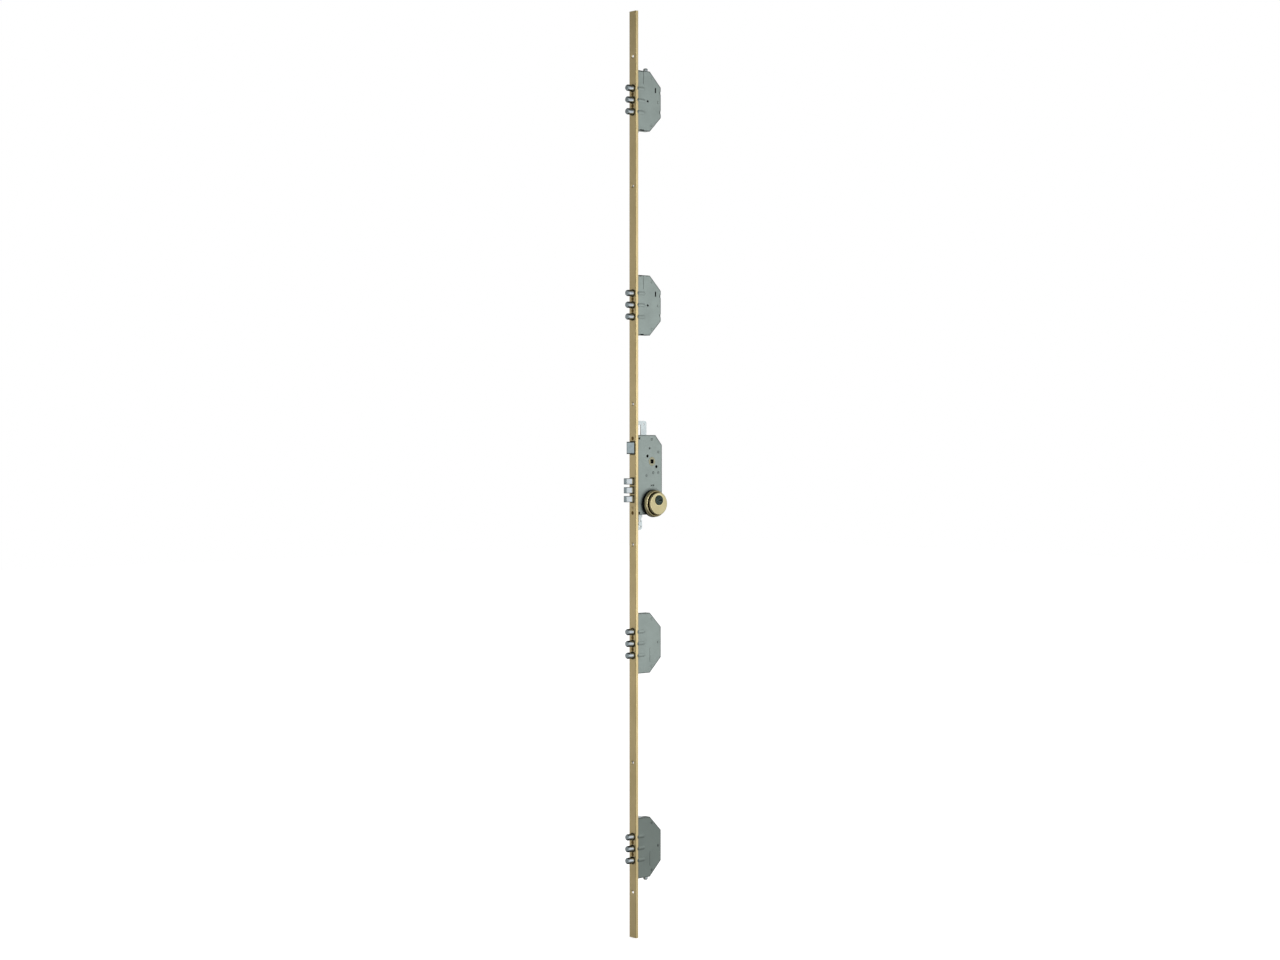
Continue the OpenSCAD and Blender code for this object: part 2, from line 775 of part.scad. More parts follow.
// Follower: square hub with collars in both sheets and a lever that draws the latch.
module follower() {
    lever_z = lever_r * cos(lever_swing);
    color(BRASS) translate([backset, 0, follower_z]) difference() {
        union() {
            bar_y(0, 0, hub_r, -case_t / 2, case_t / 2);
            for (s = [0, 1]) mirror([0, s, 0])
                bar_y(0, 0, collar_hub_r, -case_t / 2 - 0.4, -case_in);
            slab(lever_y0, lever_y1) {
                circle(10);
                slot2([0, 0], [-latch_out / 2, lever_z], lever_half);
                translate([-latch_out / 2, lever_z]) circle(lever_tip_r);
                slot2([0, 0], [nub_r * sin(lever_swing), -nub_r * cos(lever_swing)], lever_half);
            }
        }
        slab(-case_t, case_t) box2([-spindle / 2, -spindle / 2], [spindle / 2, spindle / 2]);
    }
}

nub_r = 15;

// Latch bolt: bevelled towards the outer side, with its tip at the inner side.
module latch_bolt() {
    half = latch_h / 2;
    y = latch_t / 2;
    nose = 2;
    chamfer = 2;
    tip = [0.6 - latch_out, y - nose - 1.6];
    heel = [-0.8, -y];
    slope = atan2(heel.y - tip.y, heel.x - tip.x);
    face = heel.x * sin(slope) - heel.y * cos(slope);
    color(STEEL) translate([0, 0, latch_z]) difference() {
        intersection() {
            translate([0, 0, -half]) linear_extrude(latch_h) {
                polygon([
                    [latch_rear, -y], [latch_rear, y], [nose - latch_out, y],
                    [-latch_out, y - nose], tip, heel]);
                translate([nose - latch_out, y - nose]) circle(nose);
            }
            rotate([0, 0, slope]) beam(-3 * latch_out, 3 * latch_out) polygon([
                [-face, chamfer - half], [chamfer - face, -half], [3 * latch_out, -half],
                [3 * latch_out, half], [chamfer - face, half], [-face, half - chamfer]]);
        }
        slab(lever_y0 - 0.1, lever_y1 + 0.1) box2([0, -8.1], [latch_rear + 1, 4.3]);
    }
}

// Latch tail: a flat plate seated in the latch bolt, with a leg that the lever pushes.
module latch_tail() {
    leg_x = backset - latch_out / 2 + lever_tip_r + gap;
    foot = follower_z + lever_r * cos(lever_swing) - 1;
    color(STEEL) slab(lever_y0, lever_y1) {
        box2([0.1, latch_z - 8], [leg_x + 5, latch_z + 4.2]);
        box2([leg_x, foot], [leg_x + 5, latch_z]);
    }
}

// A compression spring along X, swept as a helix of small rings.
module coil_spring(x0, x1, y, z, r, wire, turns) {
    sides = 6;
    per_turn = 12;
    rings = turns * per_turn;
    points = [
        for (i = [0:rings], k = [0:sides - 1])
            let (a = i * 360 / per_turn, b = k * 360 / sides)
            [x0 + wire + (x1 - x0 - 2 * wire) * i / rings + wire * sin(b),
             y + (r + wire * cos(b)) * cos(a), z + (r + wire * cos(b)) * sin(a)]
    ];
    faces = concat(
        [[for (k = [0:sides - 1]) k]],
        [for (i = [0:rings - 1], k = [0:sides - 1])
            [i * sides + k, (i + 1) * sides + k,
             (i + 1) * sides + (k + 1) % sides, i * sides + (k + 1) % sides]],
        [[for (k = [sides - 1:-1:0]) rings * sides + k]]);
    polyhedron(points, faces);
}

module latch_spring() {
    color(STEEL) coil_spring(latch_rear + 0.1, 29.9, 0, latch_z + 8.7, 2.2, 0.4, 7);
}

module follower_spring() {
    nub_x = backset + nub_r * sin(lever_swing) - 3.4;
    color(STEEL) coil_spring(30.3, nub_x, 3, follower_z - nub_r * cos(lever_swing), 2.2, 0.4, 7);
}

// The profile cylinder's section.
module cylinder2() {
    translate([backset, cylinder_z]) circle(cylinder_r);
    foot_r = cylinder_leg / 2;
    box2([backset - foot_r, cylinder_foot + foot_r], [backset + foot_r, cylinder_z]);
    translate([backset, cylinder_foot + foot_r]) circle(foot_r);
}

module cylinder_body() {
    mid = cog_half + 0.2;
    cog_room = cog_r + cog_module * tooth_tip + 0.4;
    color(BRASS) difference() {
        slab(body_front, cylinder_inner) cylinder2();
        bar_y(backset, cylinder_z, cog_room, -mid, mid);
        slab(-mid, mid) box2([backset - 9, cylinder_z - 3], [backset + 9, cylinder_z + 9]);
        bar_y(backset, cylinder_z, plug_r + fit, body_front - 1, cylinder_inner + 1);
        bar_x(cylinder_screw_z, cylinder_screw_r + fit, backset - 9, backset + 9);
    }
}

// Keyway of a plug, cut sideways into its face.
module keyway2() {
    box2([backset - 3.4, cylinder_z - 1.1], [backset + 5, cylinder_z + 1.1]);
    translate([backset + 5.2, cylinder_z]) circle(1.7);
}

module cylinder_plug() {
    mid = cog_half + 0.3;
    color(STEEL) difference() {
        union() {
            bar_y(backset, cylinder_z, plug_r, nose_front + 0.5, -mid);
            bar_y(backset, cylinder_z, nose_r, -mid - 1, -0.2);
            translate([backset, nose_front, cylinder_z]) rotate([-90, 0, 0])
                cylinder(r1 = plug_r - 0.5, r2 = plug_r, h = 0.5);
        }
        slab(nose_front - 1, nose_front + 12) keyway2();
    }
}

module cylinder_inner_plug() {
    mid = cog_half + 0.3;
    color(STEEL) difference() {
        union() {
            bar_y(backset, cylinder_z, plug_r, mid, cylinder_inner + 0.4);
            bar_y(backset, cylinder_z, nose_r, 0.2, mid + 1);
        }
        slab(cylinder_inner - 12, cylinder_inner + 2) keyway2();
    }
}

module cylinder_cog() {
    color(STEEL) difference() {
        slab(-cog_half, cog_half) translate([backset, cylinder_z]) gear2(cog_module, cog_teeth, cog_phase);
        bar_y(backset, cylinder_z, nose_r + fit, -case_t, case_t);
    }
}

module cylinder_screw() {
    color(PALE) case_screw(cylinder_screw_z, cylinder_screw_r, backset + 6);
}

// Black mounting ring: a cup with the cylinder's opening in its floor.
screw_spots = [for (s = [-1, 1]) [backset + s * 21.5, escutcheon_z - 8.5]];

module escutcheon_mount() {
    wall = 3.6;
    color(BLACK) difference() {
        turned(backset, escutcheon_z) difference() {
            union() {
                polygon([
                    [0, 0], [foot_r, 0], [foot_r, 1], [mount_r, 3], [mount_r, mount_h - 0.8],
                    [mount_r - 0.8, mount_h - 0.8], [mount_r - 0.8, mount_h], [0, mount_h]]);
                translate([mount_r - 0.8, mount_h - 0.8]) circle(0.8);
            }
            box2([-1, 1.6], [mount_r - wall, mount_h + 1]);
            box2([-mount_r, -1], [0, mount_h + 2]);
        }
        slab(case_face - 2, case_face + 0.5) cylinder_opening2(cylinder_play);
        for (s = screw_spots) bar_y(s.x, s.y, 1.5, case_face - 2, case_face + 1);
    }
}

module escutcheon_screws() {
    color(STEEL) for (s = screw_spots) {
        bar_y(s.x, s.y, 1.5, case_face - 1.6, -case_in);
        bar_y(s.x, s.y, 2.6, case_face - 3, case_face - 1.6);
    }
}

// Brass body: a turned ring with stepped bands.
module escutcheon_body() {
    color(BRASS) turned(backset, escutcheon_z) polygon([
        [sleeve_r, mount_h], [collar_r - 1, mount_h], [collar_r, mount_h + 1],
        [collar_r, collar_band - 0.4], [collar_r - 0.7, collar_band],
        [collar_r - 0.7, collar_band + 0.5], [collar_r - 0.2, collar_band + 0.9],
        [collar_r - 0.6, collar_end - 1.6], [collar_r - 1.3, collar_end - 0.5],
        [collar_r - 2.6, collar_end], [neck_r, collar_end], [neck_r, disc_back - 0.2],
        [sleeve_r, disc_back - 0.2]]);
}

// Front disc: turned with a rounded edge, with the plug's opening above its centre.
module escutcheon_disc() {
    edge = 2.2;
    color(BRASS) difference() {
        turned(backset, escutcheon_z) intersection() {
            union() {
                box2([0, disc_back - 0.2], [disc_r - 0.6, disc_back + 0.6]);
                box2([0, disc_back + 0.4], [disc_r, disc_h - edge]);
                box2([0, disc_h - edge - 1], [disc_r - edge, disc_h]);
                translate([disc_r - edge, disc_h - edge]) circle(edge);
            }
            box2([0, 0], [disc_r, disc_h]);
        }
        bar_y(backset, cylinder_z, ring_out, -case_t - disc_h, 0);
    }
}

// Black ring that lines the plug's opening.
module escutcheon_ring() {
    color(BLACK) difference() {
        union() {
            bar_y(backset, cylinder_z, ring_out, ring_front + 0.5, case_face - disc_back + 0.2);
            translate([backset, ring_front, cylinder_z]) rotate([-90, 0, 0])
                cylinder(r1 = ring_out - 0.5, r2 = ring_out, h = 0.5);
        }
        bar_y(backset, cylinder_z, ring_in, ring_front - 1, 0);
    }
}

// Puts a piece drawn for an upper box at box i. The lower boxes are the same box turned over.
module at_box(i) {
    translate([0, 0, box_z[i]]) rotate([i < 2 ? 0 : 180, 0, 0]) children();
}

// Round swellings that clear the bolts, on one side of a box.
module box_bulges(side) {
    for (k = [-1:1]) translate([0, 0, k * round_pitch]) intersection() {
        translate([plate_wall + 0.01, 0, 0]) rotate([0, 90, 0]) rotate_extrude()
            polygon([
                [0, 0], [bulge_r, 0], [bulge_r, bulge_end - plate_wall - 1],
                [box_t / 2, bulge_end + 2], [0, bulge_end + 2]]);
        y0 = side > 0 ? box_in : -bulge_r - 1;
        slab(y0, y0 + bulge_r + 1 - box_in) box2([0, -bulge_r], [bulge_end + 6, bulge_r]);
    }
}

module box_bolt_holes() {
    for (k = [-1:1]) bar_x(k * round_pitch, bolt_hole_r, 0, bulge_end - 1);
}

// Notches at the edges of a box's cover, open to its inside: two at the back and one at each end.
module box_notches2() {
    for (z = [-notch_z, notch_z])
        box2([box_back - notch_x, z - notch_h / 2], [box_back + 1, z + notch_h / 2]);
    box2([outer_notch.x, box_half - end_notch_h], [outer_notch.y, box_half + 1]);
    box2([inner_notch.x, -box_half - 1], [inner_notch.y, end_notch_h - box_half]);
}

module box_holes(y0, y1) {
    for (r = box_rivets_at) bar_y(r.x, r.y, rivet_r, y0, y1);
}

// Far half of a bolt box: sheet, walls, bulges and screw bosses.
module box_tray(i) {
    half = box_t / 2;
    outer = i == 0 || i == 3;
    color(ZINC) at_box(i) difference() {
        union() {
            difference() {
                slab(-box_in, half) box_case2();
                slab(-half - 1, box_in) box_case2(sheet);
            }
            box_bulges(1);
            for (s = [-1, 1]) bar_x(s * box_screw_z, boss_r, plate_wall, box_boss);
            slab(box_in - 0.5, half + 0.4)
                slot2([ridge_x, ridge_low], [ridge_x, ridge_low + ridge_h], ridge_r);
        }
        box_bolt_holes();
        box_holes(box_in - 2, half + 1);
        for (s = [-1, 1]) bar_x(s * box_screw_z, screw_r + fit, plate_wall - 1, box_boss + 1);
        slab(box_slide_y0 - gap, box_slide_y1 + gap) {
            box2([plate_wall + sheet - 0.1, -box_half - 1],
                [(outer ? tab_x1 : arm_x1) + gap, 1.5 - box_half]);
            if (!outer)
                box2([plate_wall + sheet - 0.1, box_half - 1.5], [arm_x1 + gap, box_half + 1]);
        }
        if (outer)
            translate([stub_x, 0, box_half - 3]) cylinder(r = stub_r + fit, h = 6);
    }
}

// Near half of a bolt box: a pressed sheet with sight holes, a slit and notches at its edges.
module box_cover(i) {
    half = box_t / 2;
    color(ZINC) at_box(i) difference() {
        union() {
            slab(-half, -box_in) box_case2();
            box_bulges(-1);
        }
        box_bolt_holes();
        box_holes(-half - 1, -box_in + 1);
        slab(-half - 1, 0) {
            box_notches2();
            box2([slit_x - slit_w / 2, slit_low], [slit_x + slit_w / 2, box_half + 1]);
            slot2([sight_x, sight_low], [sight_x, sight_low + sight_h], sight_r);
            translate([stub_x, 0]) circle(middle_hole_r);
        }
    }
}

// Three round bolts with slotted rear ends and the pins that hold them on the carriage.
module box_bolts(i) {
    color(NICKEL) at_box(i) for (k = [-1:1]) translate([0, 0, k * round_pitch]) {
        difference() {
            translate([-round_throw, 0, 0]) rotate([0, 90, 0]) rotate_extrude() polygon([
                [0, 0], [round_r - 2.6, 0], [round_r - 1, 0.8], [round_r - 0.2, 2.2],
                [round_r, 3.4], [round_r, round_throw + round_rear], [0, round_throw + round_rear]]);
            slab(-box_carriage_half - 0.1, box_carriage_half + 0.1)
                box2([finger_x - 0.2, -round_r - 1], [round_rear + 1, round_r + 1]);
            bar_y(box_stud_x, 0, box_stud_r + fit, -round_r - 1, round_r + 1);
        }
        bar_y(box_stud_x, 0, box_stud_r, 1.2 - round_r, round_r - 1.2);
    }
}

// Carriage of a bolt box: a comb between the bolts, with an arm and a pin for each slanted slot.
module box_carriage(i) {
    reach = 1.5 * round_pitch - 5.5;
    color(STEEL) at_box(i) difference() {
        union() {
            slab(-box_carriage_half, box_carriage_half) {
                difference() {
                    box2([finger_x, -reach], [box_spine, reach]);
                    for (s = [-1, 1])
                        box2([0, s * box_screw_z - boss_r - 0.6],
                            [box_boss + 0.5, s * box_screw_z + boss_r + 0.6]);
                }
                for (s = [-1, 1])
                    slot2([box_spine, s * box_pin_z], [box_pin_x, s * box_pin_z], 3.6);
            }
            for (s = [-1, 1])
                bar_y(box_pin_x, s * box_pin_z, box_pin_r, 0, box_slide_y1 + 0.2);
        }
        for (k = [-1:1])
            bar_y(box_stud_x, k * round_pitch, box_stud_r + fit, -round_r, round_r);
    }
}

// Slider of a bolt box: its slanted slots push the carriage while it runs up and down.
module box_slider(i) {
    outer = i == 0 || i == 3;
    foot = -box_half - link_out;
    head = box_half + travel + link_out;
    color(PALE) at_box(i) slab(box_slide_y0, box_slide_y1) {
        difference() {
            union() {
                box2([slider_x0, bar_low - bar_h], [slider_x0 + 6.5, bar_high]);
                box2([slider_x0, -20], [slider_x1, 42]);
                box2([arm_x0, bar_low - bar_h], [slider_x0 + 6, bar_low]);
                box2([arm_x0, foot], [arm_x1, bar_low - 1]);
                if (outer) {
                    box2([arm_x0, -box_half - 3.4], [tab_x1, bar_low - 1]);
                    box2([slider_x0, bar_high - 16], [stub_x + 4, bar_high]);
                } else {
                    box2([arm_x0, bar_high - bar_h], [slider_x0 + 6, bar_high]);
                    box2([arm_x0, bar_high - 1], [arm_x1, head]);
                }
            }
            for (s = [-1, 1])
                slot2([box_pin_x, s * box_pin_z], [box_pin_x + round_throw, s * box_pin_z + travel],
                    box_pin_r + 0.1);
        }
        box2([rod_x0, -inner_link - hook_h], [arm_x0 + 1, -inner_link]);
        if (!outer) box2([rod_x0, outer_link], [arm_x0 + 1, outer_link + hook_h]);
    }
}

// Round stub at the outer end of an outer box, flattened beside the slider.
module shoot_stub(i) {
    low = bar_high - 16;
    end = box_half + stub_out - low;
    color(PALE) at_box(i) difference() {
        union() {
            translate([stub_x, 0, low]) rotate_extrude() {
                box2([0, 0], [stub_r, end - stub_round]);
                box2([0, 0], [stub_r - stub_round, end]);
                intersection() {
                    translate([stub_r - stub_round, end - stub_round]) circle(stub_round);
                    box2([0, 0], [stub_r, end]);
                }
            }
        }
        slab(box_slide_y0 - 0.05, case_t) box2([stub_x - 8, low - 1], [stub_x + 8, bar_high + 0.1]);
    }
}

module box_rivets() {
    color(PALE) for (i = [0:3]) at_box(i)
        for (r = box_rivets_at) spacer(r.x, r.y, box_t / 2, box_in);
}

faceplate();
main_case_tray();
main_case_cover();
main_case_rivets();
upper_drive_plate();
lower_drive_plate();
upper_inner_rod();
upper_outer_rod();
lower_inner_rod();
lower_outer_rod();
bolt_carriage();
main_bolt(bolt_heights[0]);  // main_bolt_upper
main_bolt(bolt_heights[1]);  // main_bolt_middle
main_bolt(bolt_heights[2]);  // main_bolt_lower
transfer_pinion();
transfer_axle();
reduction_gear();
gear_axle();
follower();
latch_bolt();
latch_tail();
latch_spring();
follower_spring();
cylinder_body();
cylinder_plug();
cylinder_cog();
cylinder_inner_plug();
cylinder_screw();
escutcheon_mount();
escutcheon_body();
escutcheon_disc();
escutcheon_ring();
escutcheon_screws();
faceplate_screws();
box_rivets();
shoot_stub(0);  // top_shoot_stub
shoot_stub(3);  // bottom_shoot_stub
for (i = [0:3]) {
    box_tray(i);
    box_cover(i);
    box_bolts(i);
    box_carriage(i);
    box_slider(i);
}
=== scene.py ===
"""Finishes, coiled springs, lamps and camera for a multipoint mortise lock.

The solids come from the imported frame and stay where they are. +X points into the door,
the bolts are thrown towards -X, the key's outer side is -Y and +Z is up. Metres throughout.
"""

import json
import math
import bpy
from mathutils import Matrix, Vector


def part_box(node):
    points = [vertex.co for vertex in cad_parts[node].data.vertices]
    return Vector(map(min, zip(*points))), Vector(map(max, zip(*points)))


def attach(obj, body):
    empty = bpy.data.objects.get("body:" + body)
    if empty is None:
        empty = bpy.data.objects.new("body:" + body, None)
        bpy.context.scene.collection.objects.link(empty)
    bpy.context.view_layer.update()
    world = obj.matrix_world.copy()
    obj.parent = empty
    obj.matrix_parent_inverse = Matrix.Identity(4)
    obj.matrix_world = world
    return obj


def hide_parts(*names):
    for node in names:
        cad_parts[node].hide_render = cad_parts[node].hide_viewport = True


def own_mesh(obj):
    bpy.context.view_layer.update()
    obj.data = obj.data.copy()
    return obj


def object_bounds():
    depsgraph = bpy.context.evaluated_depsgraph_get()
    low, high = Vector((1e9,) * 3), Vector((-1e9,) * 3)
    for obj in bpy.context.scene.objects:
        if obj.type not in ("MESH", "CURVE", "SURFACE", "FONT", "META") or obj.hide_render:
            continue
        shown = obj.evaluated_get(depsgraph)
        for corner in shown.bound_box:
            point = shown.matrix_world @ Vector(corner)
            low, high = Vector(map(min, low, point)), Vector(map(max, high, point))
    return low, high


bl_info = {
    "name": "Multipoint Lock Finishes",
    "version": (1, 0, 0),
    "blender": (4, 5, 0),
    "location": "3D View > Sidebar > Lock",
    "description": "Puts plated, brushed and blackened finishes on a multipoint mortise lock",
    "category": "Object",
}

import bmesh
import bpy
from bpy.props import FloatProperty, FloatVectorProperty
from mathutils import Matrix, Vector

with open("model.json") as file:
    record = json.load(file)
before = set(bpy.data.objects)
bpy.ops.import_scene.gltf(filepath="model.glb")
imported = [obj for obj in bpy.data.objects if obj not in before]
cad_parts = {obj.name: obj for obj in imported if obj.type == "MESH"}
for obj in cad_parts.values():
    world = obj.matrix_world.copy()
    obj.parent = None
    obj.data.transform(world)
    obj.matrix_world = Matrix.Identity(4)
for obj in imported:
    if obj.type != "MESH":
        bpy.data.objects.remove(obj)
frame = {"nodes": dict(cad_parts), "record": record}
CAD_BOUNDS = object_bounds()

MM = 0.001
UP = Vector((0, 0, 1))
BOXES = ("top", "upper", "lower", "bottom")
MAIN_BOLTS = ("main_bolt_upper", "main_bolt_middle", "main_bolt_lower")

# The follower's height and its square hole's width.
FOLLOWER_Z = 28 * MM
SPINDLE = 8 * MM
# The middle of the main case's lower sight hole.
SIGHT = Vector((13, 0, -84.7)) * MM

# Painted bands: where each one begins, where it is full, and how strong it is there.
# The bands along the fold, round a bolt, beside the flange, round the mount, at a cover's rim
# face, inside a sheet, round the sight hole, in the square hole and in the neck paint shade or
# shadow; the band round the plug's ring on the disc paints a highlight.
FOLD_BAND = (1.6 * MM, 0.32 * MM, 1.0)      # from the strip's folded edge
BOLT_SHADE_RING = (2.8 * MM, 1.1 * MM, 0.85)       # from a bolt, on the strip
RIM_BAND = (2.4 * MM, 1.1 * MM, 0.9)        # from the outline of a case
FLANGE_BAND = (4.6 * MM, 2.6 * MM, 0.6)     # from the strip's flange, on a case
MOUNT_SHADOW = (7 * MM, -1 * MM, 0.6)         # from the escutcheon's mount, on the main case
SEAM_BAND = (0.4 * MM, 0.2 * MM, 1.0)       # from the rim face of a cover
INSIDE_BAND = (-0.2 * MM, -1.0 * MM, 1.0)   # inward of a sheet's outer face
SIGHT_SHADE = (4.0 * MM, 3.0 * MM, 1.0)       # from the sight hole's axis
HOLE_SHADE_BAND = (1.0 * MM, 0.3 * MM, 1.0)     # from the walls of the square hole
NECK_BAND = (-2.6 * MM, -3.2 * MM, 1.0)     # from the escutcheon body's rim
DISH_HIGHLIGHT = (3.0 * MM, 1.0 * MM, 0.5)       # from the plug's ring, on the disc
# The same for parts of a normal, all for painted shade: a bolt's end, its top and below, and a
# cover's rim face.
END_TURN = (-0.2, -0.55, 0.85)
STEEP_TURN = (0.55, 0.95, 0.8)
SEAM_TURN = (0.8, 0.95, 1.0)
# An edge begins and is full where the eased normal's cosine to the flat one falls to these.
EDGE_COSINES = (0.999, 0.93)
# The part of a noise's range that clouds, streaks and gloss use.
CLOUD_RANGE = (0.35, 0.7)
STREAK_RANGE = (0.3, 0.7)
GLOSS_RANGE = (0.25, 0.75)
# Points nearer than this lie on the same side of a case.
SAME = 0.1 * MM

# Springs: the wire's radius and sides, a closed coil's pitch, the coils and their steps,
# and how far the follower presses its spring.
WIRE = 0.4 * MM
WIRE_SIDES = 10
CLOSED_PITCH = 2.1 * WIRE
COILS = 7
COIL_STEPS = 24
NUB_TRAVEL = 11.6 * MM

# The key lamp: to the right of the lock's front, a little above its middle.
LAMP_AZIMUTH = math.radians(10)
LAMP_DISTANCE = 4.8
LAMP_HEIGHT = 0.5
LAMP_SIZE = 1.4
# Cards: name, place, size, and a height with its glow near the middle and near the ends.
CARDS = (
    ("grey_card", (-2.0, 2.2, -0.3), 6.0, (0.5, 0.76), (1.9, 0.42)),
    ("white_card", (2.0, -2.25, -0.25), 5.2, (0.5, 1.3), (1.7, 0.5)),
    ("dark_card", (0.0, 0.0, 2.6), 5.0, (0.0, 0.1), (1.0, 0.1)),
    ("dark_card", (0.0, 0.0, -2.6), 5.0, (0.0, 0.1), (1.0, 0.1)),
)
WORLD_LIGHT = 0.6
FLOOR_SIZE = 14.0
FLOOR_GAP = 2 * MM
FLOOR_LIFT = 0.58


def linear(code):
    """The linear red, green and blue of an sRGB hex code."""
    parts = [int(code[i:i + 2], 16) / 255 for i in (0, 2, 4)]
    return tuple(c / 12.92 if c <= 0.04045 else ((c + 0.055) / 1.055) ** 2.4 for c in parts)


def colour_property(name, description, code):
    """A colour that a user can change, given as an sRGB hex code."""
    return FloatVectorProperty(
        name=name, description=description, subtype="COLOR", size=3,
        min=0.0, max=1.0, default=linear(code))


class LockFinishes(bpy.types.PropertyGroup):
    """Colours of the lock's finishes."""

    strip: colour_property("Strip", "Brass-coloured plating of the folded faceplate", "CEBC90")
    # Painted shade: this colour darkens the strip along its two bends; it is also the darker tone
    # of the strip's clouds and edges.
    strip_fold_shade: colour_property("Strip Folds", "Plating where the strip is bent", "80703F")
    sheet: colour_property("Case Sheet", "Grey-green passivated zinc of the cases", "88938F")
    # Painted shade: a darker copy of the case sheet for the lowest box.
    sheet_bottom_shade: colour_property("Lowest Case", "Duller zinc of the lowest box", "6E7873")
    sheet_edge: colour_property("Case Edges", "Bare steel on the sheets' cut edges", "4C5250")
    # Painted shade: this grey stands in for the shade on the bolts' ends that face -X.
    bright: colour_property("Bright Zinc", "Drive plates and sliders", "B2BBBC")
    nickel: colour_property("Nickel", "Polished nickel of the bolts", "BFC6CA")
    bolt_end_shade: colour_property("Bolt Ends", "Ground ends of the bolts", "8C989B")
    latch: colour_property("Latch", "Blue-grey nickel of the latch bolt", "A0AEB2")
    brass: colour_property("Brass", "Satin brass of the escutcheon", "B0A883")
    brass_deep: colour_property("Brass Shade", "Tarnish in the brass pieces' grooves", "6A5226")
    # Painted highlight: this light brass brightens the disc round the plug's ring.
    brass_highlight: colour_property("Brass Light", "Polished brass round the plug's ring", "DCD5A6")
    # Painted shade: this brown darkens the neck's groove behind the disc.
    neck_shade: colour_property("Groove", "Browned lacquer of the neck behind the disc", "42310F")
    black: colour_property("Black", "Blackened steel of the escutcheon's mount", "121314")
    plug: colour_property("Plug", "Dark nickel of the key plugs and the plug's ring", "394642")
    hub: colour_property("Follower", "Greyed brass of the follower", "929683")
    # Painted shade: this dark colour stands in for the shade inside the cases, at the covers' rim
    # faces, beside the flange, round the bolts and the mount, behind the sight hole and in the
    # square hole.
    inside: colour_property("Inside", "Oiled dark steel inside the cases", "1E2221")
    rivet: colour_property("Rivets", "Dulled zinc of the main case's rivets", "717A77")
    screw: colour_property("Screws", "Browned brass plating of the screws", "6E5A38")
    drawn: colour_property("Drawn Steel", "Rods, carriages and gears", "878B90")


class LockStage(bpy.types.PropertyGroup):
    """Camera and lamp."""

    azimuth: FloatProperty(
        name="Azimuth", description="Camera's angle round the lock", subtype="ANGLE",
        default=math.radians(-41.6))
    distance: FloatProperty(
        name="Distance", description="Camera to the lock's upright axis", unit="LENGTH",
        default=5.103)
    eye: FloatProperty(
        name="Eye Height", description="Camera above the middle of the strip", unit="LENGTH",
        default=0.08)
    aside: FloatProperty(
        name="Aside", description="Camera's step to the right", unit="LENGTH", default=0.0164)
    lens: FloatProperty(
        name="Lens", description="Focal length on a 36 mm wide sensor", unit="CAMERA",
        default=65.5)
    drop: FloatProperty(
        name="Frame Drop", description="How far the frame is shifted down, in picture widths",
        default=0.033)
    key: FloatProperty(
        name="Key Lamp", description="Power of the soft lamp to the camera's right", unit="POWER",
        default=110.0)


def add_node(tree, kind, inputs=None, **settings):
    """Adds a node, sets its properties and gives each input a value or a link."""
    node = tree.nodes.new(kind)
    for name, value in settings.items():
        setattr(node, name, value)
    for name, value in (inputs or {}).items():
        socket = node.inputs[name]
        if isinstance(value, bpy.types.NodeSocket):
            tree.links.new(value, socket)
        else:
            socket.default_value = value
    return node


def rgba(colour):
    """A colour with full alpha."""
    return (*colour, 1.0)


def new_material(name):
    """An empty node material and its output node."""
    material = bpy.data.materials.new(name)
    material.use_nodes = True
    material.node_tree.nodes.clear()
    return material, add_node(material.node_tree, "ShaderNodeOutputMaterial")


def math_node(tree, operation, first, second=0.0):
    """One Math node's result."""
    return add_node(tree, "ShaderNodeMath", {0: first, 1: second}, operation=operation).outputs[0]


def vectors(tree, operation, *inputs):
    """One Vector Math node's result, a vector or a number."""
    node = add_node(tree, "ShaderNodeVectorMath", dict(enumerate(inputs)), operation=operation)
    return node.outputs["Value" if operation in ("DISTANCE", "DOT_PRODUCT", "LENGTH") else "Vector"]


def gap(tree, value, middle):
    """How far a value is from a middle, on either side."""
    return math_node(tree, "ABSOLUTE", math_node(tree, "SUBTRACT", value, middle))


def noise(tree, size_mm, stretch=(1, 1, 1), detail=3.0):
    """Noise with grains of size_mm, drawn out along the axes with a larger stretch."""
    place = add_node(tree, "ShaderNodeTexCoord")
    scale = tuple(1 / (size_mm * MM * s) for s in stretch)
    mapped = add_node(tree, "ShaderNodeMapping", {
        "Vector": place.outputs["Object"], "Scale": scale})
    return add_node(tree, "ShaderNodeTexNoise", {
        "Vector": mapped.outputs["Vector"], "Scale": 1.0, "Detail": detail}).outputs["Fac"]


def spread(tree, value, low, high, to_low=0.0, to_high=1.0):
    """Maps a value from low..high to another range."""
    return add_node(tree, "ShaderNodeMapRange", {
        "Value": value, "From Min": low, "From Max": high,
        "To Min": to_low, "To Max": to_high}).outputs["Result"]


def band(tree, value, begins, full, strength, start=0.0):
    """A painted band's strength where value has gone that far from start."""
    return spread(tree, value, start + begins, start + full, 0.0, strength)


def blend_colour(tree, factor, first, second):
    """Mixes two colours, or a colour socket with a colour."""
    inputs = {0: factor, 6: first, 7: second}
    for key in (6, 7):
        if not isinstance(inputs[key], bpy.types.NodeSocket):
            inputs[key] = rgba(inputs[key])
    return add_node(tree, "ShaderNodeMix", inputs, data_type="RGBA").outputs[2]


def position(tree):
    """The point's X, Y and Z on the piece, and its normal's."""
    place = add_node(tree, "ShaderNodeTexCoord")
    point = add_node(tree, "ShaderNodeSeparateXYZ", {"Vector": place.outputs["Object"]})
    normal = add_node(tree, "ShaderNodeSeparateXYZ", {"Vector": place.outputs["Normal"]})
    return [point.outputs[i] for i in range(3)], [normal.outputs[i] for i in range(3)]


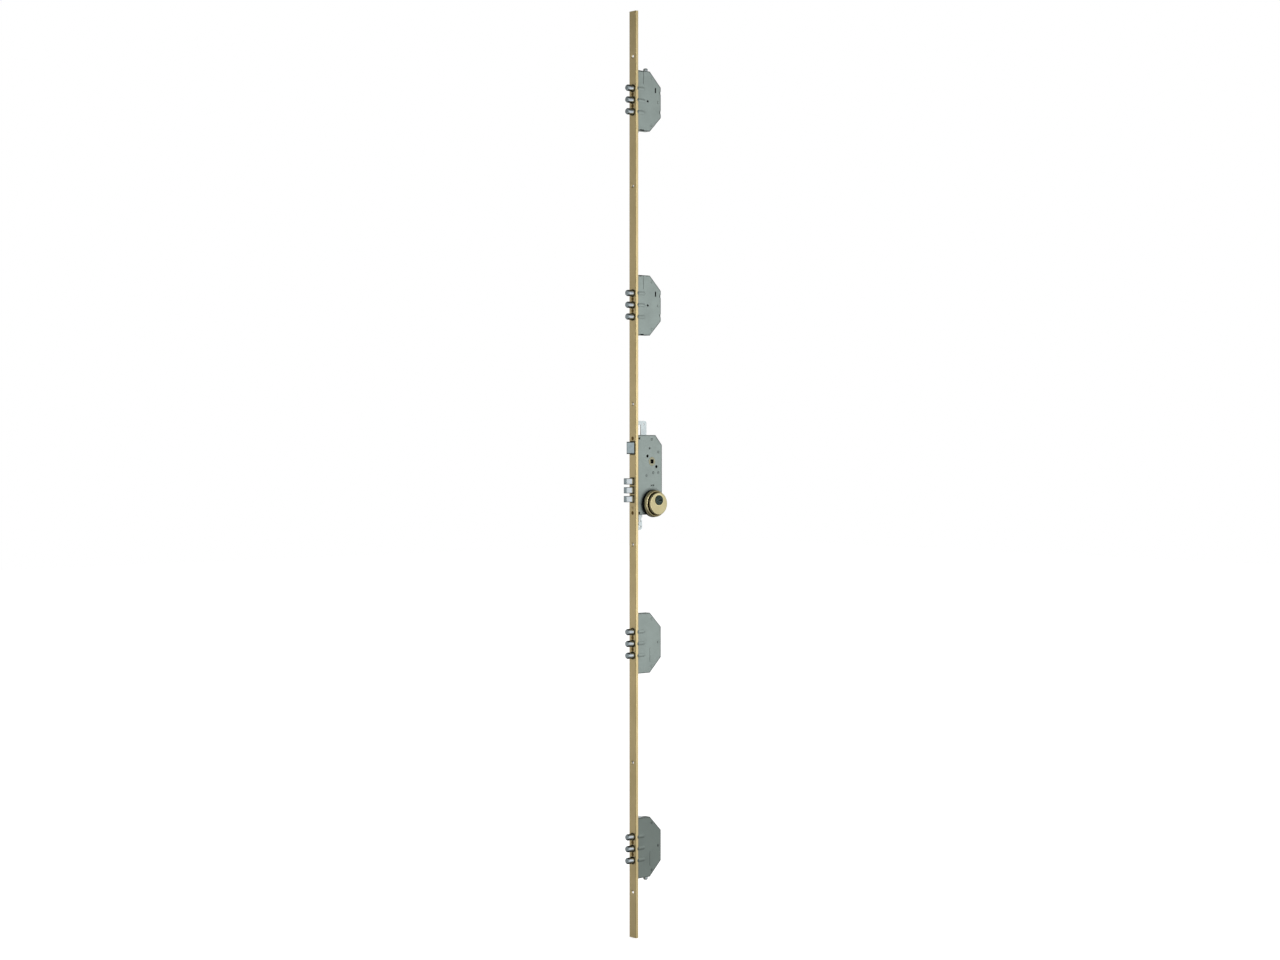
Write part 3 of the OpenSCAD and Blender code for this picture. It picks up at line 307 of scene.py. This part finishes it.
def off_axis(tree, centre, along):
    """The point's distance from a line through centre, along X, Y or Z as 0, 1 or 2."""
    keep = tuple(0.0 if axis == along else 1.0 for axis in range(3))
    place = add_node(tree, "ShaderNodeTexCoord")
    flat = vectors(tree, "MULTIPLY", place.outputs["Object"], keep)
    return vectors(tree, "DISTANCE", flat, tuple(c * kept for c, kept in zip(centre, keep)))


def off_block(tree, node):
    """The point's distance in Y and Z from a node's box."""
    low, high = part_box(node)
    point = position(tree)[0]
    beyond = [math_node(tree, "SUBTRACT", gap(tree, point[i], (low[i] + high[i]) / 2),
                        (high[i] - low[i]) / 2)
              for i in (1, 2)]
    return math_node(tree, "MAXIMUM", *beyond)


def edge_mask(tree, radius_mm):
    """1 along the solids' edges and 0 on their faces, with the eased normal of the edge."""
    eased = add_node(tree, "ShaderNodeBevel", {"Radius": radius_mm * MM}, samples=4)
    flat = add_node(tree, "ShaderNodeNewGeometry")
    same = vectors(tree, "DOT_PRODUCT", eased.outputs["Normal"], flat.outputs["Normal"])
    return spread(tree, same, *EDGE_COSINES), eased.outputs["Normal"]


def trued(tree, normal, centre):
    """Takes the mesh's flats out of a normal on a form turned about an axis along Y."""
    place = add_node(tree, "ShaderNodeTexCoord")
    across = (1, 0, 1)
    out = vectors(tree, "SUBTRACT", place.outputs["Object"], tuple(centre))
    unit = vectors(tree, "NORMALIZE", vectors(tree, "MULTIPLY", out, across))
    sideways = vectors(tree, "MULTIPLY", place.outputs["Normal"], across)
    outward = vectors(tree, "DOT_PRODUCT", sideways, unit)
    length = math_node(tree, "MULTIPLY", vectors(tree, "LENGTH", sideways),
                       math_node(tree, "SIGN", outward))
    scaled = add_node(tree, "ShaderNodeVectorMath", {0: unit, "Scale": length}, operation="SCALE")
    change = vectors(tree, "SUBTRACT", scaled.outputs[0], sideways)
    return vectors(tree, "NORMALIZE", vectors(tree, "ADD", normal, change))


def metal(name, colour, shade, rough, grain_mm, stretch=(1, 1, 1), metallic=1.0,
          cloud_mm=40.0, cloud=0.35, edge=None, edge_mm=0.35, edge_amount=0.6, bump_mm=0.01,
          rough_spread=0.08, rim=0.75, streak=0.18, turned=None, paint=None):
    """A metal finish: clouded colour, fine grain in its gloss, and eased edges.

    rim tints the reflections at grazing angles. turned is the centre of a form turned about Y.
    paint takes the tree and the colour so far, and gives the colour with marks painted over it.
    """
    material, output = new_material(name)
    tree = material.node_tree
    clouds = spread(tree, noise(tree, cloud_mm, detail=4.0), *CLOUD_RANGE, 0.0, cloud)
    base = blend_colour(tree, clouds, colour, shade)
    grain = noise(tree, grain_mm, stretch)
    streaks = spread(tree, grain, *STREAK_RANGE, 0.0, streak)
    base = blend_colour(tree, streaks, base, shade)
    mask, eased = edge_mask(tree, edge_mm)
    if turned is not None:
        eased = trued(tree, eased, turned)
    if edge is not None:
        base = blend_colour(tree, math_node(tree, "MULTIPLY", mask, edge_amount), base, edge)
    if paint is not None:
        base = paint(tree, base)
    bump = add_node(tree, "ShaderNodeBump", {
        "Height": grain, "Distance": bump_mm * MM, "Strength": 0.5, "Normal": eased})
    gloss = spread(tree, grain, *GLOSS_RANGE, rough - rough_spread, rough + rough_spread)
    shader = add_node(tree, "ShaderNodeBsdfPrincipled", {
        "Base Color": base, "Metallic": metallic, "Specular Tint": (rim, rim, rim, 1.0),
        "Roughness": gloss, "Normal": bump.outputs["Normal"]})
    tree.links.new(shader.outputs["BSDF"], output.inputs["Surface"])
    return material


def dress(material, *nodes):
    """Puts one material on CAD nodes."""
    for node in nodes:
        mesh = frame["nodes"][node].data
        mesh.materials.clear()
        mesh.materials.append(material)


def disc_of(node):
    """The middle of a round node that faces along Y, and its radius."""
    low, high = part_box(node)
    return (low + high) / 2, (high.x - low.x) / 2


def add_object(name, data):
    """Links a new object with its mesh, lamp or camera."""
    thing = bpy.data.objects.new(name, data)
    bpy.context.scene.collection.objects.link(thing)
    return thing


def add_piece(name, shape):
    """Links a new object with the mesh of a bmesh, which is freed."""
    mesh = bpy.data.meshes.new(name)
    shape.to_mesh(mesh)
    shape.free()
    return add_object(name, mesh)


def facing(place, back):
    """The matrix of a card, lamp or camera at a place, with its back towards a direction."""
    return Matrix.Translation(place) @ back.to_track_quat("Z", "Y").to_matrix().to_4x4()


class LOCK_OT_faceplate(bpy.types.Operator):
    """Dress the folded faceplate and its screws"""

    bl_idname = "lock.faceplate"
    bl_label = "Faceplate"

    def execute(self, context):
        tones = context.scene.lock_finishes
        # Brass-plated steel, brushed along its length: long streaks and a satin gloss.
        strip = metal("brass_plated_steel_brushed", tones.strip, tones.strip_fold_shade, rough=0.42,
                      grain_mm=0.6, stretch=(1, 1, 40), cloud_mm=120, cloud=0.22,
                      edge=tones.strip_fold_shade, edge_mm=0.5, edge_amount=0.5,
                      paint=self.shaded_folds_and_bolts(tones))
        dress(strip, "faceplate")
        # Brass-plated countersunk screws, pressed heads: darker in the recess.
        screws = metal("brass_plated_screw_pressed", tones.screw, tones.brass_deep, rough=0.4,
                       grain_mm=0.5, cloud_mm=3, cloud=0.5, edge=tones.brass_deep, edge_mm=0.3)
        dress(screws, "faceplate_screws")
        # The cylinder's fixing screw keeps more of its plating.
        screw = metal("brass_plated_screw_bright", tones.strip, tones.screw, rough=0.4,
                      grain_mm=0.5, cloud_mm=3, cloud=0.6, edge=tones.screw, edge_mm=0.4)
        dress(screw, "cylinder_screw")
        return {"FINISHED"}

    @staticmethod
    def shaded_folds_and_bolts(tones):
        """A paint for the strip: painted shade along its two folds and round the bolts."""
        half_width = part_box("faceplate")[1].y

        def paint(tree, base):
            (x, y, _), _ = position(tree)
            from_side = math_node(tree, "SUBTRACT", half_width, math_node(tree, "ABSOLUTE", y))
            # Painted shade along the two bends.
            fold = math_node(tree, "MULTIPLY", band(tree, from_side, *FOLD_BAND),
                             band(tree, x, *FOLD_BAND))
            base = blend_colour(tree, fold, base, tones.strip_fold_shade)
            # Painted shade in a ring round each bolt's hole.
            away = off_block(tree, "latch_bolt")
            for bolt in MAIN_BOLTS:
                away = math_node(tree, "MINIMUM", away, off_block(tree, bolt))
            for box in BOXES:
                low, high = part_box(box + "_box_bolts")
                radius = (high.y - low.y) / 2
                step = Vector((0, 0, (high.z - low.z) / 2 - radius))
                for k in (-1, 0, 1):
                    far = off_axis(tree, (low + high) / 2 + k * step, 0)
                    away = math_node(tree, "MINIMUM", away,
                                     math_node(tree, "SUBTRACT", far, radius))
            return blend_colour(tree, band(tree, away, *BOLT_SHADE_RING), base, tones.inside)

        return paint


class LOCK_OT_cases(bpy.types.Operator):
    """Dress the main case, the bolt boxes and their rivets"""

    bl_idname = "lock.cases"
    bl_label = "Cases"

    def execute(self, context):
        tones = context.scene.lock_finishes
        boxes = [box + "_box" for box in BOXES]
        # Pressed steel sheet, zinc-plated and passivated: soft grey-green clouds, cut edges duller.
        # The lowest box takes a darker copy of the sheet: painted shade.
        for name, tone, cases, others in (
                ("zinc_passivated_sheet_main", tones.sheet, ["main_case"], []),
                ("zinc_passivated_sheet", tones.sheet, boxes[:3], ["box_rivets"]),
                ("zinc_passivated_sheet_shaded", tones.sheet_bottom_shade, boxes[3:], [])):
            sheet = metal(name, tone, tones.sheet_edge, rough=0.5, grain_mm=0.35, metallic=0.55,
                          cloud_mm=28, cloud=0.16, edge=tones.sheet_edge, edge_mm=0.6,
                          edge_amount=0.6, paint=self.outline(tones, cases))
            dress(sheet, *[case + half for case in cases for half in ("_tray", "_cover")], *others)
        # Dulled zinc-plated rivets with peened heads.
        rivet = metal("zinc_plated_rivet", tones.rivet, tones.sheet_edge, rough=0.45,
                      grain_mm=0.4, cloud_mm=3, cloud=0.3, edge=tones.sheet_edge)
        # On the gear's axle, just behind the cover, this darker finish is painted shade.
        dress(rivet, "main_case_rivets", "transfer_axle", "gear_axle", "escutcheon_screws")
        return {"FINISHED"}

    @staticmethod
    def outline(tones, cases):
        """A paint for cases: painted shade inside them, on the covers' rim faces and beside the
        flange, a painted shadow round the main case's mount, and dark along the sheets' outline.
        """
        covers = [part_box(case + "_cover") for case in cases]
        low, high = covers[0]
        inner = min(abs(low.y), abs(high.y))
        half_height = (high.z - low.z) / 2
        # Where the slanted corners begin, counted from the case's far and upper sides.
        points = [v.co for v in frame["nodes"][cases[0] + "_cover"].data.vertices]
        corner_z = high.z - max(p.z for p in points if p.x > high.x - SAME)
        corner_x = high.x - max(p.x for p in points if p.z > high.z - SAME)
        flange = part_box("faceplate")[1].x
        mount_middle, mount_radius = disc_of("escutcheon_mount")

        def paint(tree, base):
            (x, y, z), normal = position(tree)
            up_or_down = None
            for lower, upper in covers:
                here = gap(tree, z, (lower.z + upper.z) / 2)
                up_or_down = here if up_or_down is None else math_node(
                    tree, "MINIMUM", up_or_down, here)
            across = math_node(tree, "SUBTRACT", high.x, x)
            down = math_node(tree, "SUBTRACT", half_height, up_or_down)
            slant = math_node(tree, "ADD", math_node(tree, "DIVIDE", across, corner_x),
                              math_node(tree, "DIVIDE", down, corner_z))
            slant = math_node(tree, "MULTIPLY", math_node(tree, "SUBTRACT", slant, 1.0),
                              1 / math.hypot(1 / corner_x, 1 / corner_z))
            near = math_node(tree, "MINIMUM", math_node(tree, "MINIMUM", across, down), slant)
            sideways = math_node(tree, "ABSOLUTE", normal[1])
            rim = math_node(tree, "MULTIPLY", band(tree, near, *RIM_BAND), sideways)
            base = blend_colour(tree, rim, base, tones.sheet_edge)
            # Painted shadow beside the strip's flange.
            shade = band(tree, x, *FLANGE_BAND, start=flange)
            base = blend_colour(tree, shade, base, tones.inside)
            # Painted shadow round the escutcheon's mount, on the key side only.
            if cases == ["main_case"]:
                painted_ring = band(tree, off_axis(tree, mount_middle, 1), *MOUNT_SHADOW,
                            start=mount_radius)
                key_side = math_node(tree, "LESS_THAN", y, 0.0)
                base = blend_colour(tree, math_node(tree, "MULTIPLY", painted_ring, key_side), base,
                                    tones.inside)
            # Painted shade on the covers' rim faces, seen through their notches.
            seam = gap(tree, math_node(tree, "ABSOLUTE", y), inner)
            seam = math_node(tree, "MULTIPLY", band(tree, seam, *SEAM_BAND),
                             band(tree, sideways, *SEAM_TURN))
            base = blend_colour(tree, seam, base, tones.inside)
            # Painted shade on the faces inside the cases.
            middle_x = (low.x + high.x) / 2
            inward = math_node(
                tree, "ADD", math_node(tree, "MULTIPLY", normal[1], y),
                math_node(tree, "MULTIPLY", normal[0], math_node(tree, "SUBTRACT", x, middle_x)))
            return blend_colour(tree, band(tree, inward, *INSIDE_BAND), base, tones.inside)

        return paint


class LOCK_OT_bolts(bpy.types.Operator):
    """Dress the flat and round bolts and the latch"""

    bl_idname = "lock.bolts"
    bl_label = "Bolts and Latch"

    def execute(self, context):
        tones = context.scene.lock_finishes

        def faced(tree, base):
            """Greys the ends that face -X and darkens the plating on top and below: painted shade.
            """
            normal = position(tree)[1]
            base = blend_colour(tree, band(tree, normal[0], *END_TURN), base, tones.bolt_end_shade)
            steep = band(tree, math_node(tree, "ABSOLUTE", normal[2]), *STEEP_TURN)
            return blend_colour(tree, steep, base, tones.sheet_edge)

        # Nickel-plated steel, turned or ground and polished: clear reflections, faint rings.
        # Its wide dark edges, grey ends and dark tops and undersides are painted shade.
        nickel = metal("nickel_plated_steel_polished", tones.nickel, tones.sheet_edge, rough=0.16,
                       grain_mm=0.4, stretch=(0.5, 4, 4), cloud_mm=6, cloud=0.15,
                       edge=tones.sheet_edge, edge_mm=1.6, edge_amount=0.7, rough_spread=0.05,
                       rim=0.12, paint=faced)
        dress(nickel, "top_shoot_stub", "bottom_shoot_stub", *MAIN_BOLTS,
              *[box + "_box_bolts" for box in BOXES])
        # Sintered steel latch, nickel-plated: satin and slightly blue.
        latch = metal("nickel_plated_sintered_steel", tones.latch, tones.sheet_edge, rough=0.32,
                      grain_mm=0.25, cloud_mm=8, cloud=0.2, edge=tones.sheet_edge, edge_mm=0.5,
                      edge_amount=0.4)
        dress(latch, "latch_bolt")
        return {"FINISHED"}


class LOCK_OT_works(bpy.types.Operator):
    """Dress the drive plates, rods, carriages, gears and follower"""

    bl_idname = "lock.works"
    bl_label = "Works"

    def execute(self, context):
        tones = context.scene.lock_finishes

        def sight_shaded(tree, base):
            """Darkens the plate behind the case's lower sight hole: painted shade."""
            sight_shade = band(tree, off_axis(tree, SIGHT, 1), *SIGHT_SHADE)
            return blend_colour(tree, sight_shade, base, tones.inside)

        # Stamped steel, bright zinc-plated: pale, with a soft sheen.
        plate = metal("bright_zinc_plated_stamping", tones.bright, tones.drawn, rough=0.4,
                      grain_mm=0.3, cloud_mm=14, cloud=0.3, edge=tones.sheet_edge, edge_mm=0.3,
                      paint=sight_shaded)
        dress(plate, "upper_drive_plate", "lower_drive_plate",
              *[box + "_box_slider" for box in BOXES])
        # Cold-drawn flat steel: streaks along the bar.
        drawn = metal("cold_drawn_flat_steel", tones.drawn, tones.sheet_edge, rough=0.35,
                      grain_mm=0.4, stretch=(1, 1, 30), cloud_mm=30, edge=tones.sheet_edge)
        dress(drawn, "upper_inner_rod", "upper_outer_rod", "lower_inner_rod", "lower_outer_rod",
              "bolt_carriage", "latch_tail", *[box + "_box_carriage" for box in BOXES])
        # Sintered gears: fine pores, oiled.
        gear = metal("sintered_gear_steel", tones.drawn, tones.black, rough=0.38, grain_mm=0.2,
                     cloud_mm=5, cloud=0.4, edge=tones.bright, edge_mm=0.2, edge_amount=0.4)
        dress(gear, "transfer_pinion", "reduction_gear", "cylinder_cog")
        axis_x = disc_of("cylinder_plug")[0].x

        def hole_shaded(tree, base):
            """Darkens the square hole's walls: painted shade."""
            (x, _, z), _ = position(tree)
            wide = math_node(tree, "MAXIMUM", gap(tree, x, axis_x), gap(tree, z, FOLLOWER_Z))
            hole_shade = band(tree, wide, *HOLE_SHADE_BAND, start=SPINDLE / 2)
            return blend_colour(tree, hole_shade, base, tones.inside)

        # Cast brass follower, tumbled: greyed and softly worn.
        hub = metal("cast_brass_tumbled", tones.hub, tones.brass_deep, rough=0.35, grain_mm=0.3,
                    cloud_mm=6, cloud=0.5, edge=tones.brass_deep, edge_mm=0.4, edge_amount=0.7,
                    paint=hole_shaded)
        dress(hub, "follower")
        return {"FINISHED"}


class LOCK_OT_springs(bpy.types.Operator):
    """Coil the latch's and the follower's springs, their first and last turns closed"""

    bl_idname = "lock.springs"
    bl_label = "Springs"

    def execute(self, context):
        tones = context.scene.lock_finishes
        # Spring wire, oil-tempered: dark, with a low sheen.
        steel = metal("oil_tempered_spring_wire", tones.sheet_edge, tones.black, rough=0.3,
                      grain_mm=0.15, cloud_mm=2, cloud=0.4)
        joints = {joint["name"]: joint for joint in frame["record"]["behaviour"]["joints"]}
        latch_travel = joints["latch_slide"]["range_m"][1]
        for node, driver, travel in (("latch_spring", "latch_slide", latch_travel),
                                     ("follower_spring", "follower_turn", NUB_TRAVEL)):
            low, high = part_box(node)
            spring = self.coil(node + "_coiled", low, high)
            spring.data.materials.append(steel)
            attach(spring, "root")
            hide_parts(node)
            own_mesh(spring)
        return {"FINISHED"}

    @staticmethod
    def coil(name, low, high):
        """A coil along X that fills the box from low to high, its first and last turns closed."""
        middle = (low + high) / 2
        radius = (high.y - low.y) / 2 - WIRE
        open_coils = COILS - 2
        open_pitch = (high.x - low.x - 2 * WIRE - 2 * CLOSED_PITCH) / open_coils
        shape = bmesh.new()
        start = Vector((low.x + WIRE, middle.y + radius, middle.z))
        bmesh.ops.create_circle(shape, cap_ends=True, segments=WIRE_SIDES, radius=WIRE,
                                matrix=Matrix.Translation(start))
        section = shape.verts[:] + shape.edges[:] + shape.faces[:]
        for count, pitch in ((1, CLOSED_PITCH), (open_coils, open_pitch), (1, CLOSED_PITCH)):
            section = bmesh.ops.spin(
                shape, geom=section, cent=middle, axis=(1, 0, 0), angle=count * math.tau,
                dvec=(pitch / COIL_STEPS, 0, 0), steps=count * COIL_STEPS)["geom_last"]
        bmesh.ops.holes_fill(shape, edges=[edge for edge in shape.edges if edge.is_boundary])
        bmesh.ops.recalc_face_normals(shape, faces=shape.faces)
        spring = add_piece(name, shape)
        spring.data.shade_smooth()
        return spring


class LOCK_OT_cylinder(bpy.types.Operator):
    """Dress the profile cylinder and the escutcheon"""

    bl_idname = "lock.cylinder"
    bl_label = "Cylinder and Escutcheon"

    def execute(self, context):
        tones = context.scene.lock_finishes
        centre, radius = disc_of("escutcheon_body")
        ring_middle, ring_radius = disc_of("escutcheon_ring")

        def neck(tree, base):
            """Browns the body's neck behind the disc: painted shade in the groove."""
            inside = band(tree, off_axis(tree, centre, 1), *NECK_BAND, start=radius)
            return blend_colour(tree, inside, base, tones.neck_shade)

        def painted_ring(tree, base):
            """Brightens the disc where it is dished round the plug's ring: a painted highlight."""
            far = math_node(tree, "SUBTRACT", off_axis(tree, ring_middle, 1), ring_radius)
            return blend_colour(tree, band(tree, far, *DISH_HIGHLIGHT), base, tones.brass_highlight)

        # Turned brass with a satin lacquer: faint rings and a warm shade in the grooves.
        for name, paint, turned, piece in (
                ("satin_brass_drawn", None, None, "cylinder_body"),
                ("satin_brass_faced", painted_ring, centre, "escutcheon_disc"),
                ("satin_brass_turned", neck, centre, "escutcheon_body")):
            brass = metal(name, tones.brass, tones.brass_deep, rough=0.34, grain_mm=0.5,
                          stretch=(1, 6, 1), cloud_mm=18, cloud=0.16, streak=0.06,
                          edge=tones.brass_deep, edge_mm=0.5, edge_amount=0.4, bump_mm=0.003,
                          rim=0.5, turned=turned, paint=paint)
            dress(brass, piece)
        # Blackened steel: deep and slightly rough.
        black = metal("blackened_steel", tones.black, (0, 0, 0), rough=0.55, grain_mm=0.3,
                      metallic=0.6, cloud_mm=10, cloud=0.3, rim=0.1, turned=centre)
        dress(black, "escutcheon_mount")
        # The ring is black-nickel plated and keeps some shine.
        ring = metal("black_nickel_turned", tones.plug, tones.black, rough=0.4, grain_mm=0.3,
                     cloud_mm=5, cloud=0.5, edge=tones.black, edge_mm=0.6, turned=ring_middle)
        dress(ring, "escutcheon_ring")
        # Dark nickel plugs, finely turned: darker than the ring, with bright edges.
        plug = metal("dark_nickel_turned", tones.plug, tones.black, rough=0.24, grain_mm=0.3,
                     cloud_mm=5, cloud=0.3, edge=tones.bright, edge_mm=0.3, edge_amount=0.4)
        dress(plug, "cylinder_plug", "cylinder_inner_plug")
        return {"FINISHED"}


class LOCK_OT_stage(bpy.types.Operator):
    """Set the floor, the background, the lamp, the cards and the camera"""

    bl_idname = "lock.stage"
    bl_label = "Stage"

    def execute(self, context):
        setup = context.scene.lock_stage
        self.background()
        self.floor()
        self.lamp(setup.key)
        for card in CARDS:
            self.card(*card)
        self.camera(setup)
        context.scene.view_settings.view_transform = "Standard"
        return {"FINISHED"}

    @staticmethod
    def seen(tree, *kinds):
        """1 for rays of the given kinds, 0 for the others."""
        path = add_node(tree, "ShaderNodeLightPath")
        rays = [path.outputs["Is " + kind + " Ray"] for kind in kinds]
        found = rays[0]
        for ray in rays[1:]:
            found = math_node(tree, "MAXIMUM", found, ray)
        return found

    def background(self):
        """White where the camera or a reflection sees it, softer as a light."""
        world = bpy.data.worlds.new("studio")
        bpy.context.scene.world = world
        world.use_nodes = True
        tree = world.node_tree
        tree.nodes.clear()
        light, white = [
            add_node(tree, "ShaderNodeBackground", {"Color": (1, 1, 1, 1), "Strength": strength})
            for strength in (WORLD_LIGHT, 1.0)]
        mix = add_node(tree, "ShaderNodeMixShader", {
            0: self.seen(tree, "Camera", "Glossy", "Transmission"),
            1: light.outputs[0], 2: white.outputs[0]})
        add_node(tree, "ShaderNodeOutputWorld", {"Surface": mix.outputs[0]})

    def floor(self):
        """A pale floor that still takes the lock's shadow."""
        low = CAD_BOUNDS[0][2] - FLOOR_GAP
        shape = bmesh.new()
        bmesh.ops.create_grid(shape, x_segments=1, y_segments=1, size=FLOOR_SIZE,
                              matrix=Matrix.Translation((0, 0, low)))
        floor = add_piece("floor", shape)
        # Matt white paper: lifted to white for the eye, but not as a light.
        material, output = new_material("white_studio_floor")
        tree = material.node_tree
        lift = math_node(tree, "MULTIPLY", self.seen(tree, "Camera", "Glossy"), FLOOR_LIFT)
        shader = add_node(tree, "ShaderNodeBsdfPrincipled", {
            "Base Color": (0.92, 0.92, 0.92, 1), "Roughness": 0.9, "Specular IOR Level": 0.0,
            "Emission Color": (1, 1, 1, 1), "Emission Strength": lift})
        tree.links.new(shader.outputs["BSDF"], output.inputs["Surface"])
        floor.data.materials.append(material)
        floor.visible_glossy = False

    @staticmethod
    def card(name, place, size, middle, ends):
        """A card that only reflections see. middle and ends are each a height and a glow."""
        place = Vector(place)
        level = place if place.x == 0 else Vector((place.x, place.y, 0))
        shape = bmesh.new()
        bmesh.ops.create_grid(shape, x_segments=1, y_segments=1, size=size / 2,
                              matrix=facing(place, level))
        card = add_piece(name, shape)
        # A glowing board, brightest in its middle: reflections fade towards the lock's ends.
        material, output = new_material(name + "_board")
        tree = material.node_tree
        height = gap(tree, position(tree)[0][2], place.z)
        glow = add_node(tree, "ShaderNodeEmission", {
            "Strength": spread(tree, height, middle[0], ends[0], middle[1], ends[1])})
        tree.links.new(glow.outputs["Emission"], output.inputs["Surface"])
        card.data.materials.append(material)
        card.visible_camera = card.visible_diffuse = False
        card.visible_shadow = card.visible_transmission = False

    @staticmethod
    def lamp(power):
        """A soft square lamp that looks at the middle of the lock."""
        light = bpy.data.lights.new("key_lamp", "AREA")
        light.shape = "SQUARE"
        light.size = LAMP_SIZE
        light.energy = power
        level = Vector((math.sin(LAMP_AZIMUTH), -math.cos(LAMP_AZIMUTH), 0))
        place = level * LAMP_DISTANCE + UP * LAMP_HEIGHT
        add_object("key_lamp", light).matrix_world = facing(place, place)

    @staticmethod
    def camera(setup):
        """The photograph's viewpoint: level, with the frame shifted down."""
        data = bpy.data.cameras.new("camera")
        data.sensor_width = 36.0
        data.lens = setup.lens
        data.shift_y = -setup.drop
        data.clip_end = 50.0
        camera = add_object("camera", data)
        towards = Vector((-math.sin(setup.azimuth), math.cos(setup.azimuth), 0))
        right = towards.cross(UP)
        place = -towards * setup.distance + right * setup.aside + UP * setup.eye
        camera.matrix_world = facing(place, -towards)
        bpy.context.scene.camera = camera


class LOCK_PT_panel(bpy.types.Panel):
    """Lists the lock's operators and its settings"""

    bl_idname = "LOCK_PT_panel"
    bl_label = "Lock"
    bl_space_type = "VIEW_3D"
    bl_region_type = "UI"
    bl_category = "Lock"

    def draw(self, context):
        layout = self.layout
        for operator in OPERATORS:
            layout.operator(operator.bl_idname)
        for group in (context.scene.lock_finishes, context.scene.lock_stage):
            for name in group.__annotations__:
                layout.prop(group, name)


OPERATORS = (LOCK_OT_faceplate, LOCK_OT_cases, LOCK_OT_bolts, LOCK_OT_works, LOCK_OT_springs,
             LOCK_OT_cylinder, LOCK_OT_stage)
CLASSES = (LockFinishes, LockStage, *OPERATORS, LOCK_PT_panel)


def register():
    """Adds the classes and the scene's settings."""
    for cls in CLASSES:
        bpy.utils.register_class(cls)
    bpy.types.Scene.lock_finishes = bpy.props.PointerProperty(type=LockFinishes)
    bpy.types.Scene.lock_stage = bpy.props.PointerProperty(type=LockStage)


def unregister():
    """Takes them away again."""
    del bpy.types.Scene.lock_stage
    del bpy.types.Scene.lock_finishes
    for cls in reversed(CLASSES):
        bpy.utils.unregister_class(cls)


def main():
    """Dresses the lock and sets the stage."""
    register()
    bpy.ops.lock.faceplate()
    bpy.ops.lock.cases()
    bpy.ops.lock.bolts()
    bpy.ops.lock.works()
    bpy.ops.lock.springs()
    bpy.ops.lock.cylinder()
    bpy.ops.lock.stage()


if __name__ == "__main__":
    main()
